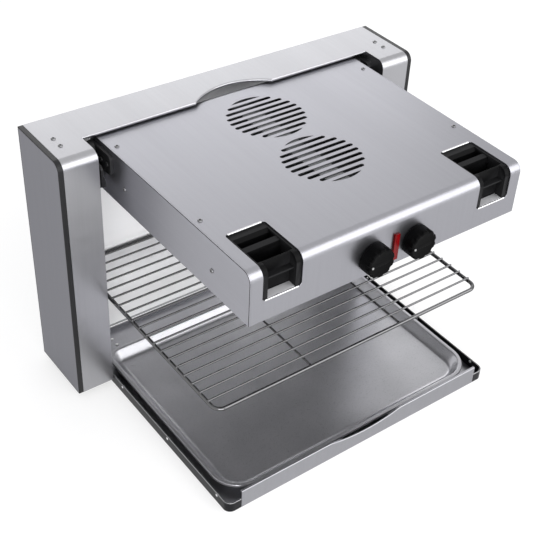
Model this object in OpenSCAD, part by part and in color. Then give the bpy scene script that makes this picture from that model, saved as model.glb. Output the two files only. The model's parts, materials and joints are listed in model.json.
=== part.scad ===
// Wall-hung cheese melter that folds flat: a heater head hinged to a wall frame,
// a wire rack below it and a hinged tray that holds the drip pan and closes the front.
// Millimetres. X runs along the wall, Y points into the wall, Z is up.
// The origin is the centre of the back face, in the middle of the four wall screws.

/* [Wall frame] */
// Width over the two black end frames
frame_w = 480; // [460:5:560]
// Height of the frame
frame_h = 320; // [315:1:340]
// Depth from the wall to the front of the pillars
frame_d = 90; // [89:1:96]
// Width of each pillar with its end frame
pillar_w = 46; // [44:1:50]
// Depth of the top strip that bridges the bay
strip_d = 55; // [52:1:58]
// Thickness of the aluminium sheet
sheet_t = 1.5; // [1:0.1:2]
// Radius of the bend from the top to the front of the pillars
bend_r = 11; // [9:1:18]
// Thickness of each black end frame
end_t = 6; // [4.5:0.5:8]
// Width of the black edge that shows round each side plate
end_edge = 1.2; // [0.8:0.1:2]
// Thickness of the side plate let into each end frame
side_plate_t = 1.5; // [1:0.1:2]
// Thickness of the steel back plate
back_t = 1.5; // [1:0.1:1.6]
// Thickness of the polished liner in front of the back plate
liner_t = 0.6; // [0.4:0.1:0.8]
// Depth of the forward flange under the back plate
back_flange_d = 4; // [3:0.25:4]
// Height of the rolled lip along the front of the top strip
lip_h = 3.5; // [3:0.1:3.9]
// Thickness of that lip
lip_t = 3; // [2:0.5:4]
// Half the width of the finger recess in the top strip and in the tray panel
recess_x = 52; // [30:1:70]
// Depth of the finger recess in the top strip
strip_recess_d = 19; // [10:1:24]
// Thickness of the plastic cap in the foot of each pillar
cap_t = 3; // [2:0.5:6]
// Distance from each side of the frame to its wall screw holes
wall_hole_in = 26; // [22:1:30]
// Distance from the top and from the foot of the frame to the wall screw holes
wall_hole_end = 50; // [40:5:80]
// Radius of a wall screw hole
wall_hole_r = 3.5; // [2.5:0.25:4.5]

/* [Heater head] */
// Gap beside the head for the hinge
hinge_gap = 17; // [16:0.5:20]
// Distance from the wall to the front of the head
head_reach = 337; // [325:1:340]
// Room between the folded head and the wall
head_wall_gap = 3; // [3:0.5:6]
// Drop from the top of the frame to the top of the head
head_drop = 5; // [5:0.5:8]
// Radius of the bend from the top to the front of the head
head_bend_r = 11; // [9:1:18]
// Radius of a round vent field
vent_r = 45; // [44:0.5:48]
// Slots in a vent field
vent_rows = 10; // [6:2:10]
// Distance between neighbouring vent slots
vent_pitch = 9.5; // [8:0.25:9.5]
// Width of a vent slot
vent_slot_w = 4.8; // [3:0.2:5]
// Distance of the vent fields to the right of the head's middle
vent_x = 2.4; // [0:0.2:6]
// Distance from the wall to the middle of the rear vent field
vent_y1 = 113.5; // [110:0.5:120]
// Distance between the middles of the two vent fields
vent_step = 100.5; // [98:0.5:104]
// Radius of the bend at the back of the head, which is concentric with the hinge pins
head_back_r = 12; // [11.5:0.5:13]
// Radius of a hinge pin
head_pin_r = 4; // [3:0.25:4.5]

/* [Handles and controls] */
// Width of a handle opening
grip_w = 46; // [40:1:50]
// Distance from the side of the head to the middle of a handle
grip_in = 38; // [34:1:44]
// Depth of a handle opening along the top of the head
grip_d = 64; // [60:1:68]
// Height of a handle opening down the front of the head
grip_h = 37; // [34:1:40]
// Width of a handle's side cheeks along the top
cheek_w = 2.5; // [2:0.5:4]
// Width of those cheeks down the front
cheek_front_w = 6.5; // [5:0.5:8]
// Depth of the handle's surface below the head's surface
handle_flush = 1.4; // [0.4:0.2:1.4]
// Depth of the finger space under the handle's bars
grip_deep = 18; // [14:1:20]
// Distance from the middle to the axis of each knob
knob_x = 28; // [26:0.5:36]
// Drop from the top of the head to the knob axes
knob_drop = 39; // [34:0.5:39]
// Radius of a knob
knob_r = 17; // [13:0.5:18]
// Length of a knob
knob_l = 15; // [13:0.5:20]
// Scallops round the front of a knob
knob_scallops = 10; // [6:1:12]
// Width of the lamp lens
lens_w = 7; // [5:0.5:8]
// Distance of the lamp lens from the middle
lens_x = 2; // [0:0.5:4]
// Height of the lamp lens
lens_h = 32; // [24:1:32]

/* [Heating] */
// Number of quartz heating tubes
tube_n = 3; // [3:1:4]
// Radius of a heating tube
tube_r = 5; // [4:0.5:6]
// Distance from the side of the head to the lit part of a heating tube
tube_in = 37; // [35:1:60]
// Distance from the front of the head to the first reflector trough
trough_front = 44; // [40:1:60]
// Distance from the back of the head to the last reflector trough
trough_back = 57; // [40:1:70]
// Flat strip beside each reflector trough
trough_flat = 7; // [5:0.5:9]
// Radius of a guard wire
guard_r = 1.2; // [0.8:0.1:1.4]

/* [Rack] */
// Height of the rack's frame wire above the foot of the wall frame
rack_h = 118; // [105:1:125]
// Gap between the middle of a side wire and the pillar
rack_side = 7; // [5:0.5:9]
// Distance from the wall to the middle of the front wire
rack_reach = 301.5; // [290:0.5:305]
// Distance from the wall to the middle of the rear wire
rack_back = 4.75; // [4.75:0.25:8]
// Radius of the frame wire
rack_wire_r = 2.25; // [1.75:0.25:2.25]
// Radius of a cross wire
cross_wire_r = 1.25; // [1:0.25:1.5]
// Number of cross wires
cross_n = 19; // [12:1:22]
// Radius of the rack's corners
rack_corner_r = 11; // [8:1:16]
// Distance from the middle to each support wire
support_x = 64; // [50:1:80]
// Length of the guides that hold the rack
guide_l = 61; // [50:1:62]

/* [Tray] */
// Drop of the tray's underside below the foot of the frame
tray_drop = 8; // [6:0.5:9]
// Gap between the tray and each pillar
tray_gap = 1; // [0.5:0.1:1.5]
// Height of the tray's front panel
panel_h = 25; // [23:0.5:25]
// Distance from the tray's side to the side of its front panel
panel_in = 18; // [17:1:24]
// Thickness of the folded edge along the top of the panel
panel_edge_t = 3.5; // [2.5:0.5:4.5]
// Height of that folded edge
panel_edge_h = 4; // [3:0.5:6]
// Depth of the finger recess in the panel
panel_recess_d = 7; // [4:0.5:9]
// Height of the tray's side walls
tray_wall_h = 18; // [14:1:19]
// Radius of the tray's front corners
tray_corner_r = 16; // [12:1:17]
// Distance from the wall to the tray's pivot pins
tray_pin_set = 48; // [46:1:50]
// Distance from the wall to the rear end of the tray's floor
tray_rear_set = 5; // [5:0.5:7]
// Radius of a pivot pin
tray_pin_r = 4; // [3:0.25:4.5]
// Radius of the round end of a tray arm
arm_r = 10; // [8:0.5:12]
// Clear space between the panel and the folded head
fold_gap = 1; // [0.5:0.1:1.5]

/* [Drip pan] */
// Gap between the pan's rim and the tray's side walls
pan_side_gap = 7; // [5:0.5:8]
// Distance from the wall to the back of the pan
pan_back = 50; // [50:1:56]
// Gap between the pan's rim and the front panel
pan_front_gap = 6; // [4:0.5:9]
// Height of the pan
pan_h = 14; // [10:0.5:14.5]
// Radius of the pan's front corners
pan_corner_r = 36; // [30:1:44]
// Radius of the pan's rear corners
pan_rear_r = 20; // [20:1:30]
// Thickness of the pan's sheet
pan_t = 1.2; // [0.8:0.1:1.5]
// Width of the flat rim
pan_rim_w = 5; // [4:0.5:7]
// Width of the sloping wall
pan_slope_w = 9; // [6:0.5:12]

/* [Fits] */
// Radial clearance of a pin or stem that turns in a bore
turn_fit = 0.05; // [0.03:0.01:0.08]
// Clearance between a piece and the seat it is laid on
seat_fit = 0.2; // [0.1:0.05:0.3]
// Clearance on each side of a piece that slides
slide_fit = 0.3; // [0.2:0.05:0.5]

/* [Hidden] */
$fn = 48;
eps = 1;

// Levels and planes of the wall frame
roof_z = frame_h / 2;
floor_z = -frame_h / 2;
front_y = -frame_d;
shell_x = frame_w / 2 - end_t;
bay_x = frame_w / 2 - pillar_w;
roof_in_z = roof_z - sheet_t;
liner_y = -back_t - liner_t;
wall_hole_x = frame_w / 2 - wall_hole_in;
wall_hole_z = frame_h / 2 - wall_hole_end;

// Tongue of an end frame inside the pillar
tongue_l = 4;
tongue_w = 2;

// Fastener sizes
screw_r = 1.5;
screw_head_r = 2.6;
screw_head_h = 1.3;
screw_l = 5;

// Where the folded head's top comes to lie, just behind the folded tray's panel
fold_y = front_y + panel_h + fold_gap;

// Heater head
head_t = frame_d - panel_h - fold_gap - head_wall_gap;
head_top_z = roof_z - head_drop;
head_bot_z = head_top_z - head_t;
head_x = bay_x - hinge_gap;
head_front_y = -head_reach;
head_in_x = head_x - sheet_t;
head_in_top_z = head_top_z - sheet_t;
head_in_front_y = head_front_y + sheet_t;
head_pin_y = fold_y + head_back_r;
head_pin_z = head_top_z - head_back_r;
head_back_y = head_pin_y + head_back_r;
head_low_r = 8;

// Hinge, from the head's side to the pillar
arm_t = 4;
bracket_t = 2.5;
bracket_stand = 7;
bracket_rib = 2.5;
bracket_back = 16;
bracket_down = 33;
fold_wall_y = front_y + tray_wall_h + 1;
pin_cap_t = 2;
pin_cap_r = head_pin_r + 3;
bracket_in_x = bay_x - bracket_stand;
arm_out_x = head_x + arm_t;
hinge_boss_r = head_pin_r + 3;
washer_n = 4;
washer_gap = 0.25;
washer_space = bracket_in_x - arm_out_x;
washer_t = (washer_space - (washer_n + 1) * washer_gap) / washer_n;
washer_r = head_pin_r + 4;

// Knobs and lamp
knob_z = head_top_z - knob_drop;
knob_hole_r = 4;
stem_r = 3;
stem_l = 16;
knob_gap = 0.6;
knob_bar_w = 5;
knob_bar_h = 1;
knob_bar_x = knob_r * 0.88;
knob_front_y = head_front_y - knob_gap - knob_l - knob_bar_h;
cap_l = 4;
scallop_r = 4;
scallop_in = 1.4;
timer_w = 42;
timer_d = 28;
timer_h = 30;
switch_w = 34;
switch_d = 24;
switch_h = 28;
nose_l = 2;
nose_r = 9;
dot_r = 1.2;
dot_out = 12.5;
dot_deep = 0.6;
dot_angle = 180;
lens_out = 2.5;
lens_flange = 1;
lens_flange_t = 1.5;
lamp_l = 16;
lens_up = 0.5;
lens_z = knob_z + lens_up;

// Heating
heater_plate_t = 1.2;
heater_z = head_bot_z + sheet_t + 2 * guard_r + 2 * seat_fit;
trough_y0 = head_front_y + trough_front;
trough_y1 = head_back_y - trough_back;
tube_pitch = (trough_y1 - trough_y0 + 2 * trough_flat) / tube_n;
trough_r = tube_pitch / 2 - trough_flat;
tube_x = head_x - tube_in;
trough_t = 0.8;
trough_z = heater_z + heater_plate_t + seat_fit;
tube_z = trough_z + 11;
tube_cap_r = tube_r + 1.5;
tube_cap_l = 10;
holder_t = 2.5;
holder_x = tube_x + tube_cap_l - 5;
heater_window_x = holder_x - 2;
shield_z = trough_z + trough_r + trough_t + 3;
shield_t = 1;

// Rack
rack_x = bay_x - rack_side;
rack_z = floor_z + rack_h;
rack_front_y = -rack_reach;
rack_back_y = -rack_back;
cross_z = rack_z + rack_wire_r + cross_wire_r;
guide_y1 = liner_y - 6;
guide_y0 = guide_y1 - guide_l;

// Tray, with its pivot placed so that it closes flush with the front and the top of the frame,
// and its side walls with the foot
tray_x = bay_x - tray_gap;
panel_x = tray_x - panel_in;
tray_under_z = floor_z - tray_drop;
tray_pin_y = -tray_pin_set;
tray_pin_z = tray_under_z + frame_d + tray_pin_y;
tray_front_y = tray_pin_y - (roof_z - tray_pin_z);
tray_rear_y = -tray_rear_set;
tray_wall_rear_y = tray_pin_y + (tray_pin_z - floor_z);
tray_floor_z = tray_under_z + sheet_t;
tray_wall_t = 1.5;
tray_arm_t = 3;
tray_arm_out_x = tray_x - tray_wall_t;
panel_top_z = tray_under_z + panel_h;
rear_hem_h = tray_drop;

// Drip pan
pan_x = tray_x - tray_wall_t - pan_side_gap;
pan_bot_z = tray_floor_z + seat_fit;
pan_top_z = pan_bot_z + pan_h;
pan_front_y = tray_front_y + panel_edge_t + pan_front_gap;
pan_back_y = -pan_back;
pan_rim_skirt = 3;

// Box between two opposite corners
module block(x0, x1, y0, y1, z0, z1) {
    translate([min(x0, x1), min(y0, y1), min(z0, z1)])
        cube([abs(x1 - x0), abs(y1 - y0), abs(z1 - z0)]);
}

// Round bars along the three axes, from one end to the other
module bar_x(x0, x1, y, z, r) {
    translate([min(x0, x1), y, z])
        rotate([0, 90, 0])
            cylinder(r = r, h = abs(x1 - x0));
}

module bar_y(x, y0, y1, z, r) {
    translate([x, max(y0, y1), z])
        rotate([90, 0, 0])
            cylinder(r = r, h = abs(y1 - y0));
}

module bar_z(x, y, z0, z1, r) {
    translate([x, y, min(z0, z1)])
        cylinder(r = r, h = abs(z1 - z0));
}

// Outline drawn in Y and Z, drawn out along X
module along_x(x0, x1) {
    translate([min(x0, x1), 0, 0])
        rotate([90, 0, 90])
            linear_extrude(abs(x1 - x0))
                children();
}

// Outline drawn in X and Z, drawn out along Y
module along_y(y0, y1) {
    translate([0, max(y0, y1), 0])
        rotate([90, 0, 0])
            linear_extrude(abs(y1 - y0))
                children();
}

// Rectangle between two corners
module rect(a0, a1, b0, b1) {
    translate([min(a0, a1), min(b0, b1)])
        square([abs(a1 - a0), abs(b1 - b0)]);
}

// Rectangle with four rounded corners
module round_rect(a0, a1, b0, b1, r) {
    rect(a0 + r, a1 - r, b0, b1);
    rect(a0, a1, b0 + r, b1 - r);
    for (a = [a0 + r, a1 - r], b = [b0 + r, b1 - r])
        translate([a, b])
            circle(r = r);
}

// Rectangle with rounded corners at its low second coordinate only
module front_round_rect(a0, a1, b0, b1, r) {
    rect(a0 + r, a1 - r, b0, b1);
    rect(a0, a1, b0 + r, b1);
    for (a = [a0 + r, a1 - r])
        translate([a, b0 + r])
            circle(r = r);
}

// The same piece on the left and on the right
module both_sides() {
    children();
    mirror([1, 0, 0])
        children();
}

// Side outline of the wall frame, drawn in by inset
module frame_outline(inset) {
    r = bend_r - inset;
    y0 = front_y + inset;
    z0 = floor_z + inset;
    z1 = roof_z - inset;
    rect(y0 + r, -inset, z0, z1);
    rect(y0, -inset, z0, z1 - r);
    translate([y0 + r, z1 - r])
        circle(r = r);
}

// Side outline of the head, drawn in by inset, with bends at the top and at the lower back edge
module head_outline(inset) {
    r = head_bend_r - inset;
    q = head_back_r - inset;
    p = head_low_r - inset;
    y0 = head_front_y + inset;
    y1 = head_back_y - inset;
    z0 = head_bot_z + inset;
    z1 = head_top_z - inset;
    rect(y0, y1 - p, z0, z1 - r);
    rect(y0, y1, z0 + p, z1 - r);
    rect(y0 + r, y1 - q, z0 + p, z1);
    rect(y0 + r, y1, z0 + p, z1 - q);
    translate([y0 + r, z1 - r])
        circle(r = r);
    translate([y1 - q, z1 - q])
        circle(r = q);
    translate([y1 - p, z0 + p])
        circle(r = p);
}

// Radius of an arc from its half chord and its rise
function arc_r(half, rise) = (half * half + rise * rise) / (2 * rise);

// Plan of the finger recess in the top strip, drawn out by grow
module strip_recess(grow) {
    r = arc_r(recess_x, strip_recess_d);
    translate([0, -strip_d + strip_recess_d - r])
        circle(r = r + grow, $fn = 96);
}

strip_recess_r = arc_r(recess_x, strip_recess_d);

// Screw with a domed head, standing on z = 0 and pointing down
module screw(length) {
    cylinder(r1 = screw_head_r, r2 = screw_head_r * 0.7, h = screw_head_h);
    translate([0, 0, -length])
        cylinder(r = screw_r, h = length + 0.1);
}

// Screws in the top of each pillar, set back from its front
frame_screw_in = 20;
frame_screw_set = 32;
frame_screw_step = 16;
frame_screw_x = frame_w / 2 - frame_screw_in;
frame_screw_y = [front_y + frame_screw_set + frame_screw_step, front_y + frame_screw_set];

// Aluminium shell: top strip, two pillars and the rolled lip of the strip
module frame_shell() {
    color("#c9cace")
    difference() {
        union() {
            both_sides()
                pillar_skin();
            difference() {
                union() {
                    block(-bay_x - sheet_t, bay_x + sheet_t, -strip_d, 0, roof_in_z, roof_z);
                    block(-bay_x, bay_x, -strip_d, -strip_d + lip_t, roof_z - lip_h, roof_z);
                    translate([0, 0, roof_z - lip_h])
                        linear_extrude(lip_h)
                            intersection() {
                                strip_recess(lip_t);
                                rect(-bay_x, bay_x, -strip_d, -sheet_t);
                            }
                }
                translate([0, 0, roof_z - lip_h - eps])
                    linear_extrude(lip_h + 2 * eps)
                        strip_recess(0);
            }
        }
        frame_screw_holes();
    }
}

// One pillar: front, inner wall and top, open to the outer side, to the wall and below
module pillar_skin() {
    difference() {
        along_x(bay_x, shell_x)
            frame_outline(0);
        translate([sheet_t, 0, 0])
            along_x(bay_x, shell_x)
                union() {
                    frame_outline(sheet_t);
                    rect(front_y + sheet_t, eps, floor_z - eps, roof_in_z - bend_r);
                    rect(front_y + bend_r, eps, floor_z, roof_in_z);
                }
        block(bay_x - eps, shell_x + eps, -back_t, eps, floor_z - eps, roof_in_z);
        bar_x(bay_x - eps, bay_x + sheet_t + eps, head_pin_y, head_pin_z, head_pin_r + turn_fit);
        bar_x(bay_x - eps, bay_x + sheet_t + eps, tray_pin_y, tray_pin_z, tray_pin_r + turn_fit);
    }
}

module frame_screw_holes() {
    for (s = [-1, 1], y = frame_screw_y)
        bar_z(s * frame_screw_x, y, roof_in_z - eps, roof_z + eps, screw_r + seat_fit);
}

// Black plastic end frame with a tongue inside the pillar and a tray for the side plate
module end_frame() {
    difference() {
        union() {
            along_x(shell_x, shell_x + end_t)
                frame_outline(0);
            along_x(shell_x - tongue_l, shell_x)
                difference() {
                    frame_outline(sheet_t + seat_fit);
                    frame_outline(sheet_t + seat_fit + tongue_w);
                    rect(-back_t - seat_fit, eps, floor_z - eps, roof_z);
                }
        }
        along_x(shell_x + end_t - side_plate_t - seat_fit, shell_x + end_t + eps)
            frame_outline(end_edge);
    }
}

module left_end_frame() {
    color("#1c1c1e")
        mirror([1, 0, 0])
            end_frame();
}

module right_end_frame() {
    color("#1c1c1e")
        end_frame();
}

module side_plate() {
    along_x(shell_x + end_t - side_plate_t, shell_x + end_t)
        frame_outline(end_edge + seat_fit);
}

module left_side_plate() {
    color("#b5b6ba")
        mirror([1, 0, 0])
            side_plate();
}

module right_side_plate() {
    color("#b5b6ba")
        side_plate();
}

// Steel back plate with four wall screw holes and a flange at its foot
module back_plate() {
    color("#9a9b9e")
    difference() {
        union() {
            block(-shell_x, shell_x, -back_t, 0, floor_z, roof_in_z);
            block(-bay_x + seat_fit, bay_x - seat_fit, -back_flange_d, 0, floor_z, floor_z + back_t);
        }
        for (x = [-1, 1], z = [-1, 1])
            bar_y(x * wall_hole_x, -back_t - eps, eps, z * wall_hole_z, wall_hole_r);
    }
}

// Polished sheet that throws the heat and light back, lining the bay
module polished_liner() {
    color("#e4e5e8")
        block(-bay_x + seat_fit, bay_x - seat_fit, liner_y, -back_t, floor_z + back_t, roof_in_z - seat_fit);
}

pillar_in_x = bay_x + sheet_t + seat_fit;
pillar_out_x = shell_x - tongue_l - seat_fit;
gland_x = (pillar_in_x + pillar_out_x) / 2;
gland_y = -45;
gland_r = 7;
cord_r = 3.6;
gland_out = 3;
gland_in = 10;
cap_rib_t = 2;
cap_rib_h = 8;

// Plastic cap in the foot of a pillar
module pillar_cap() {
    block(pillar_in_x, pillar_out_x, front_y + sheet_t + seat_fit, -back_t - seat_fit, floor_z, floor_z + cap_t);
    for (y = [front_y + sheet_t + seat_fit, -back_t - seat_fit - cap_rib_t])
        block(pillar_in_x, pillar_out_x, y, y + cap_rib_t, floor_z, floor_z + cap_t + cap_rib_h);
}

module left_pillar_cap() {
    color("#232325")
        mirror([1, 0, 0])
            pillar_cap();
}

module right_pillar_cap() {
    color("#232325")
        difference() {
            pillar_cap();
            bar_z(gland_x, gland_y, floor_z - eps, floor_z + cap_t + eps, gland_r + seat_fit);
        }
}

// Gland for the mains cord, held in the right cap by its flange and its nut
module cable_gland() {
    flange_t = 2;
    flange_r = gland_r + 3;
    color("#2c2c2e")
        difference() {
            union() {
                bar_z(gland_x, gland_y, floor_z - gland_out, floor_z + cap_t + gland_in, gland_r);
                bar_z(gland_x, gland_y, floor_z + cap_t + seat_fit, floor_z + cap_t + seat_fit + flange_t, flange_r);
            }
            bar_z(gland_x, gland_y, floor_z - gland_out - eps, floor_z + cap_t + gland_in + eps, cord_r);
        }
}

// Mains terminal block on the inner wall of the right pillar
module terminal_block() {
    way_n = 3;
    way_w = 10;
    way_r = 3.6;
    wire_r = 2;
    rise = 60;
    depth = 14;
    height = 16;
    y0 = gland_y - way_n * way_w / 2;
    z0 = floor_z + rise;
    color("#e8e4d8")
        difference() {
            union() {
                block(pillar_in_x, pillar_in_x + depth, y0, y0 + way_n * way_w, z0, z0 + height);
                for (i = [0:way_n - 1])
                    bar_x(pillar_in_x + depth, pillar_in_x + depth + way_r, y0 + (i + 0.5) * way_w, z0 + height / 2, way_r);
            }
            for (i = [0:way_n - 1])
                bar_z(pillar_in_x + depth / 2, y0 + (i + 0.5) * way_w, z0 - eps, z0 + height + eps, wire_r);
        }
}

// Two screws through the top of each pillar
module frame_screws() {
    color("#d5d6d8")
        for (s = [-1, 1], y = frame_screw_y)
            translate([s * frame_screw_x, y, roof_z])
                screw(screw_l);
}

// Black hinge bracket beside the pillar: a plate that leaves room for the folded tray's side wall,
// and a thick pad behind that wall, through which the hinge pin passes
module hinge_bracket() {
    bracket_set = 5;
    y0 = front_y + bracket_set;
    y1 = head_pin_y + bracket_back;
    z0 = head_pin_z - bracket_down;
    z1 = head_pin_z + hinge_boss_r + 1;
    nose_z = head_pin_z - hinge_boss_r + 2;
    corner_r = 6;
    rib_h = 12;
    rib_t = 2;
    difference() {
        union() {
            along_x(bracket_in_x, bracket_in_x + bracket_t)
                union() {
                    round_rect(y0, y1, z0, nose_z, corner_r);
                    round_rect(head_pin_y - bracket_back, y1, z0, z1, corner_r);
                }
            along_x(bracket_in_x, bay_x)
                round_rect(fold_wall_y, y1, z0, z1, corner_r);
            along_x(bracket_in_x - bracket_rib, bracket_in_x)
                difference() {
                    round_rect(y0, y1, z0, z0 + rib_h, 2 * rib_t);
                    round_rect(y0 + rib_t, y1 - rib_t, z0 + rib_t, z0 + rib_h - rib_t, rib_t);
                }
        }
        bar_x(bracket_in_x - eps, bay_x + eps, head_pin_y, head_pin_z, head_pin_r + turn_fit);
    }
}

module left_hinge_bracket() {
    color("#171718")
        mirror([1, 0, 0])
            hinge_bracket();
}

module right_hinge_bracket() {
    color("#171718")
        hinge_bracket();
}

// Shouldered hinge pins, their caps inside the pillars
module hinge_pins() {
    cap_x = bay_x + sheet_t + seat_fit;
    color("#b8b9bc")
        both_sides() {
            bar_x(head_in_x - 3, cap_x + pin_cap_t, head_pin_y, head_pin_z, head_pin_r);
            bar_x(cap_x, cap_x + pin_cap_t, head_pin_y, head_pin_z, pin_cap_r);
        }
}

// Stack of friction washers between each arm and bracket
module hinge_washers() {
    color("#8d8e92")
        both_sides()
            for (i = [0:washer_n - 1])
                hinge_washer(arm_out_x + washer_gap + i * (washer_t + washer_gap));
}

module hinge_washer(x) {
    difference() {
        bar_x(x, x + washer_t, head_pin_y, head_pin_z, washer_r);
        bar_x(x - eps, x + washer_t + eps, head_pin_y, head_pin_z, head_pin_r + turn_fit);
    }
}

// Channel on the pillar's inner wall that holds the back of the rack's side wire
module rack_guide() {
    wall = 3;
    lead_in = 2;
    in_x = rack_x - rack_wire_r + 0.5;
    z0 = rack_z - rack_wire_r - slide_fit;
    z1 = cross_z + cross_wire_r + slide_fit;
    difference() {
        block(in_x, bay_x, guide_y0, guide_y1, z0 - wall, z1 + wall);
        block(in_x - eps, rack_x + rack_wire_r + slide_fit, guide_y0 - eps, guide_y1 + eps, z0, z1);
        along_x(in_x - eps, rack_x + rack_wire_r + slide_fit)
            polygon([[guide_y0 - eps, z0 - lead_in], [guide_y0, z0 - lead_in], [guide_y0 + 2 * lead_in, z0],
                [guide_y0 + 2 * lead_in, z1], [guide_y0, z1 + lead_in], [guide_y0 - eps, z1 + lead_in]]);
    }
}

module left_rack_guide() {
    color("#1d1d1f")
        mirror([1, 0, 0])
            rack_guide();
}

module right_rack_guide() {
    color("#1d1d1f")
        rack_guide();
}

tray_bush_r = tray_pin_r + 3;

// Pivot pins of the tray, through the pillar walls
module tray_pivot_pins() {
    cap_x = bay_x + sheet_t + seat_fit;
    head_in = tray_arm_out_x - tray_arm_t - seat_fit;
    color("#b8b9bc")
        both_sides() {
            bar_x(head_in - pin_cap_t, cap_x + pin_cap_t, tray_pin_y, tray_pin_z, tray_pin_r);
            bar_x(cap_x, cap_x + pin_cap_t, tray_pin_y, tray_pin_z, tray_pin_r + 2.5);
            bar_x(head_in - pin_cap_t, head_in, tray_pin_y, tray_pin_z, tray_pin_r + 2.5);
        }
}

// Spacer bushes between the tray's arms and the pillars
module tray_pivot_bushes() {
    color("#dddad0")
        both_sides()
            difference() {
                bar_x(tray_arm_out_x + seat_fit, bay_x - seat_fit, tray_pin_y, tray_pin_z, tray_bush_r);
                bar_x(tray_arm_out_x, bay_x, tray_pin_y, tray_pin_z, tray_pin_r + turn_fit);
            }
}

// Slot with round ends, centred, its length along the first axis
module slot(half_l, w) {
    rect(-half_l, half_l, -w / 2, w / 2);
    for (s = [-1, 1])
        translate([s * half_l, 0])
            circle(r = w / 2, $fn = 24);
}

// Round field of parallel slots; the two end slots follow the circle with their outer edge
module vent_field(mid_y) {
    slot_r = vent_slot_w / 2;
    end_off = (vent_rows - 1) / 2 * vent_pitch;
    translate([vent_x, mid_y]) {
        for (i = [1:vent_rows - 2])
            let (off = i * vent_pitch - end_off)
                translate([0, off])
                    slot(sqrt(pow(vent_r - slot_r, 2) - off * off), vent_slot_w);
        for (s = [-1, 1])
            intersection() {
                circle(r = vent_r, $fn = 96);
                rect(-vent_r, vent_r, s * (end_off - slot_r), s * (end_off + vent_slot_w));
            }
    }
}

grip_x = head_x - grip_in;
grip_rear_y = head_front_y + grip_d;
grip_low_z = head_top_z - grip_h;
grip_corner_r = 4;
ledge_d = 10;

// Space taken by one handle: a part open to the top and a part open to the front,
// both drawn in by inset
module grip_space(mid_x, inset, deep_z, deep_y) {
    r = grip_corner_r - inset;
    x0 = mid_x - grip_w / 2 + inset;
    x1 = mid_x + grip_w / 2 - inset;
    translate([0, 0, head_top_z - deep_z])
        linear_extrude(deep_z + eps)
            union() {
                rect(x0, x1, head_front_y - eps, grip_rear_y - grip_corner_r);
                round_rect(x0, x1, grip_rear_y - 4 * grip_corner_r, grip_rear_y - inset, r);
            }
    along_y(head_front_y - eps, head_front_y + deep_y)
        union() {
            rect(x0, x1, grip_low_z + grip_corner_r, head_top_z);
            round_rect(x0, x1, grip_low_z + inset, grip_low_z + 4 * grip_corner_r, r);
        }
}

// Screws of the head, set from its hinge pins and from its front
head_screw_in = 9;
head_screw_rear = 30.5;
head_screw_front = 96.5;
side_screw_rear = 59;
side_screw_front = 62;
side_screw_drop = 34.5;
head_screw_x = head_x - head_screw_in;
head_screw_y = [head_pin_y - head_screw_rear, head_front_y + head_screw_front];
head_side_screw_y = [head_pin_y - side_screw_rear, head_front_y + side_screw_front];
head_side_screw_z = head_top_z - side_screw_drop;

// Aluminium shell of the head: top, front and back bent from one sheet
module head_shell() {
    flange_d = 12;
    color("#c9cace")
    difference() {
        union() {
            difference() {
                along_x(-head_in_x, head_in_x)
                    head_outline(0);
                along_x(-head_in_x - eps, head_in_x + eps)
                    head_outline(sheet_t);
                block(-head_x, head_x, head_in_front_y + flange_d, head_back_y - head_low_r,
                    head_bot_z - eps, head_bot_z + sheet_t + eps);
                for (s = [-1, 1])
                    grip_space(s * grip_x, 0, head_bend_r, head_bend_r);
            }
            for (s = [-1, 1])
                block(s * grip_x - grip_w / 2, s * grip_x + grip_w / 2, head_front_y, head_front_y + ledge_d,
                    grip_low_z - sheet_t, grip_low_z);
        }
        translate([0, 0, head_in_top_z - eps])
            linear_extrude(sheet_t + 2 * eps)
                for (i = [0, 1])
                    vent_field(-vent_y1 - i * vent_step);
        for (s = [-1, 1]) {
            bar_y(s * knob_x, head_front_y - eps, head_in_front_y + eps, knob_z, knob_hole_r);
            for (y = head_screw_y)
                bar_z(s * head_screw_x, y, head_in_top_z - eps, head_top_z + eps, screw_r + seat_fit);
        }
        along_y(head_front_y - eps, head_in_front_y + eps)
            round_rect(lens_x - lens_w / 2, lens_x + lens_w / 2, lens_z - lens_h / 2, lens_z + lens_h / 2, 1);
    }
}

// Side plate of the head, with a flange under the top for the two top screws
module head_side() {
    flange_w = head_screw_in + 7;
    flange_end = 12;
    difference() {
        union() {
            along_x(head_in_x + seat_fit, head_x)
                head_outline(0);
            block(head_in_x - flange_w, head_x - sheet_t / 2, head_screw_y[1] - flange_end, head_screw_y[0] + flange_end,
                head_in_top_z - seat_fit - sheet_t, head_in_top_z - seat_fit);
        }
        for (y = head_screw_y)
            bar_z(head_screw_x, y, head_in_top_z - 3 * sheet_t, head_top_z - eps, screw_r + seat_fit);
        for (y = head_side_screw_y)
            bar_x(head_in_x - eps, head_x + eps, y, head_side_screw_z, screw_r + seat_fit);
        bar_x(head_in_x - eps, head_x + eps, head_pin_y, head_pin_z, head_pin_r + turn_fit);
    }
}

module head_left_side() {
    color("#9fa0a6")
        mirror([1, 0, 0])
            head_side();
}

module head_right_side() {
    color("#9fa0a6")
        head_side();
}

arm_reach = 38;
arm_bar_h = 24;
arm_tail_w = 12;
arm_tail_h = 38;

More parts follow.
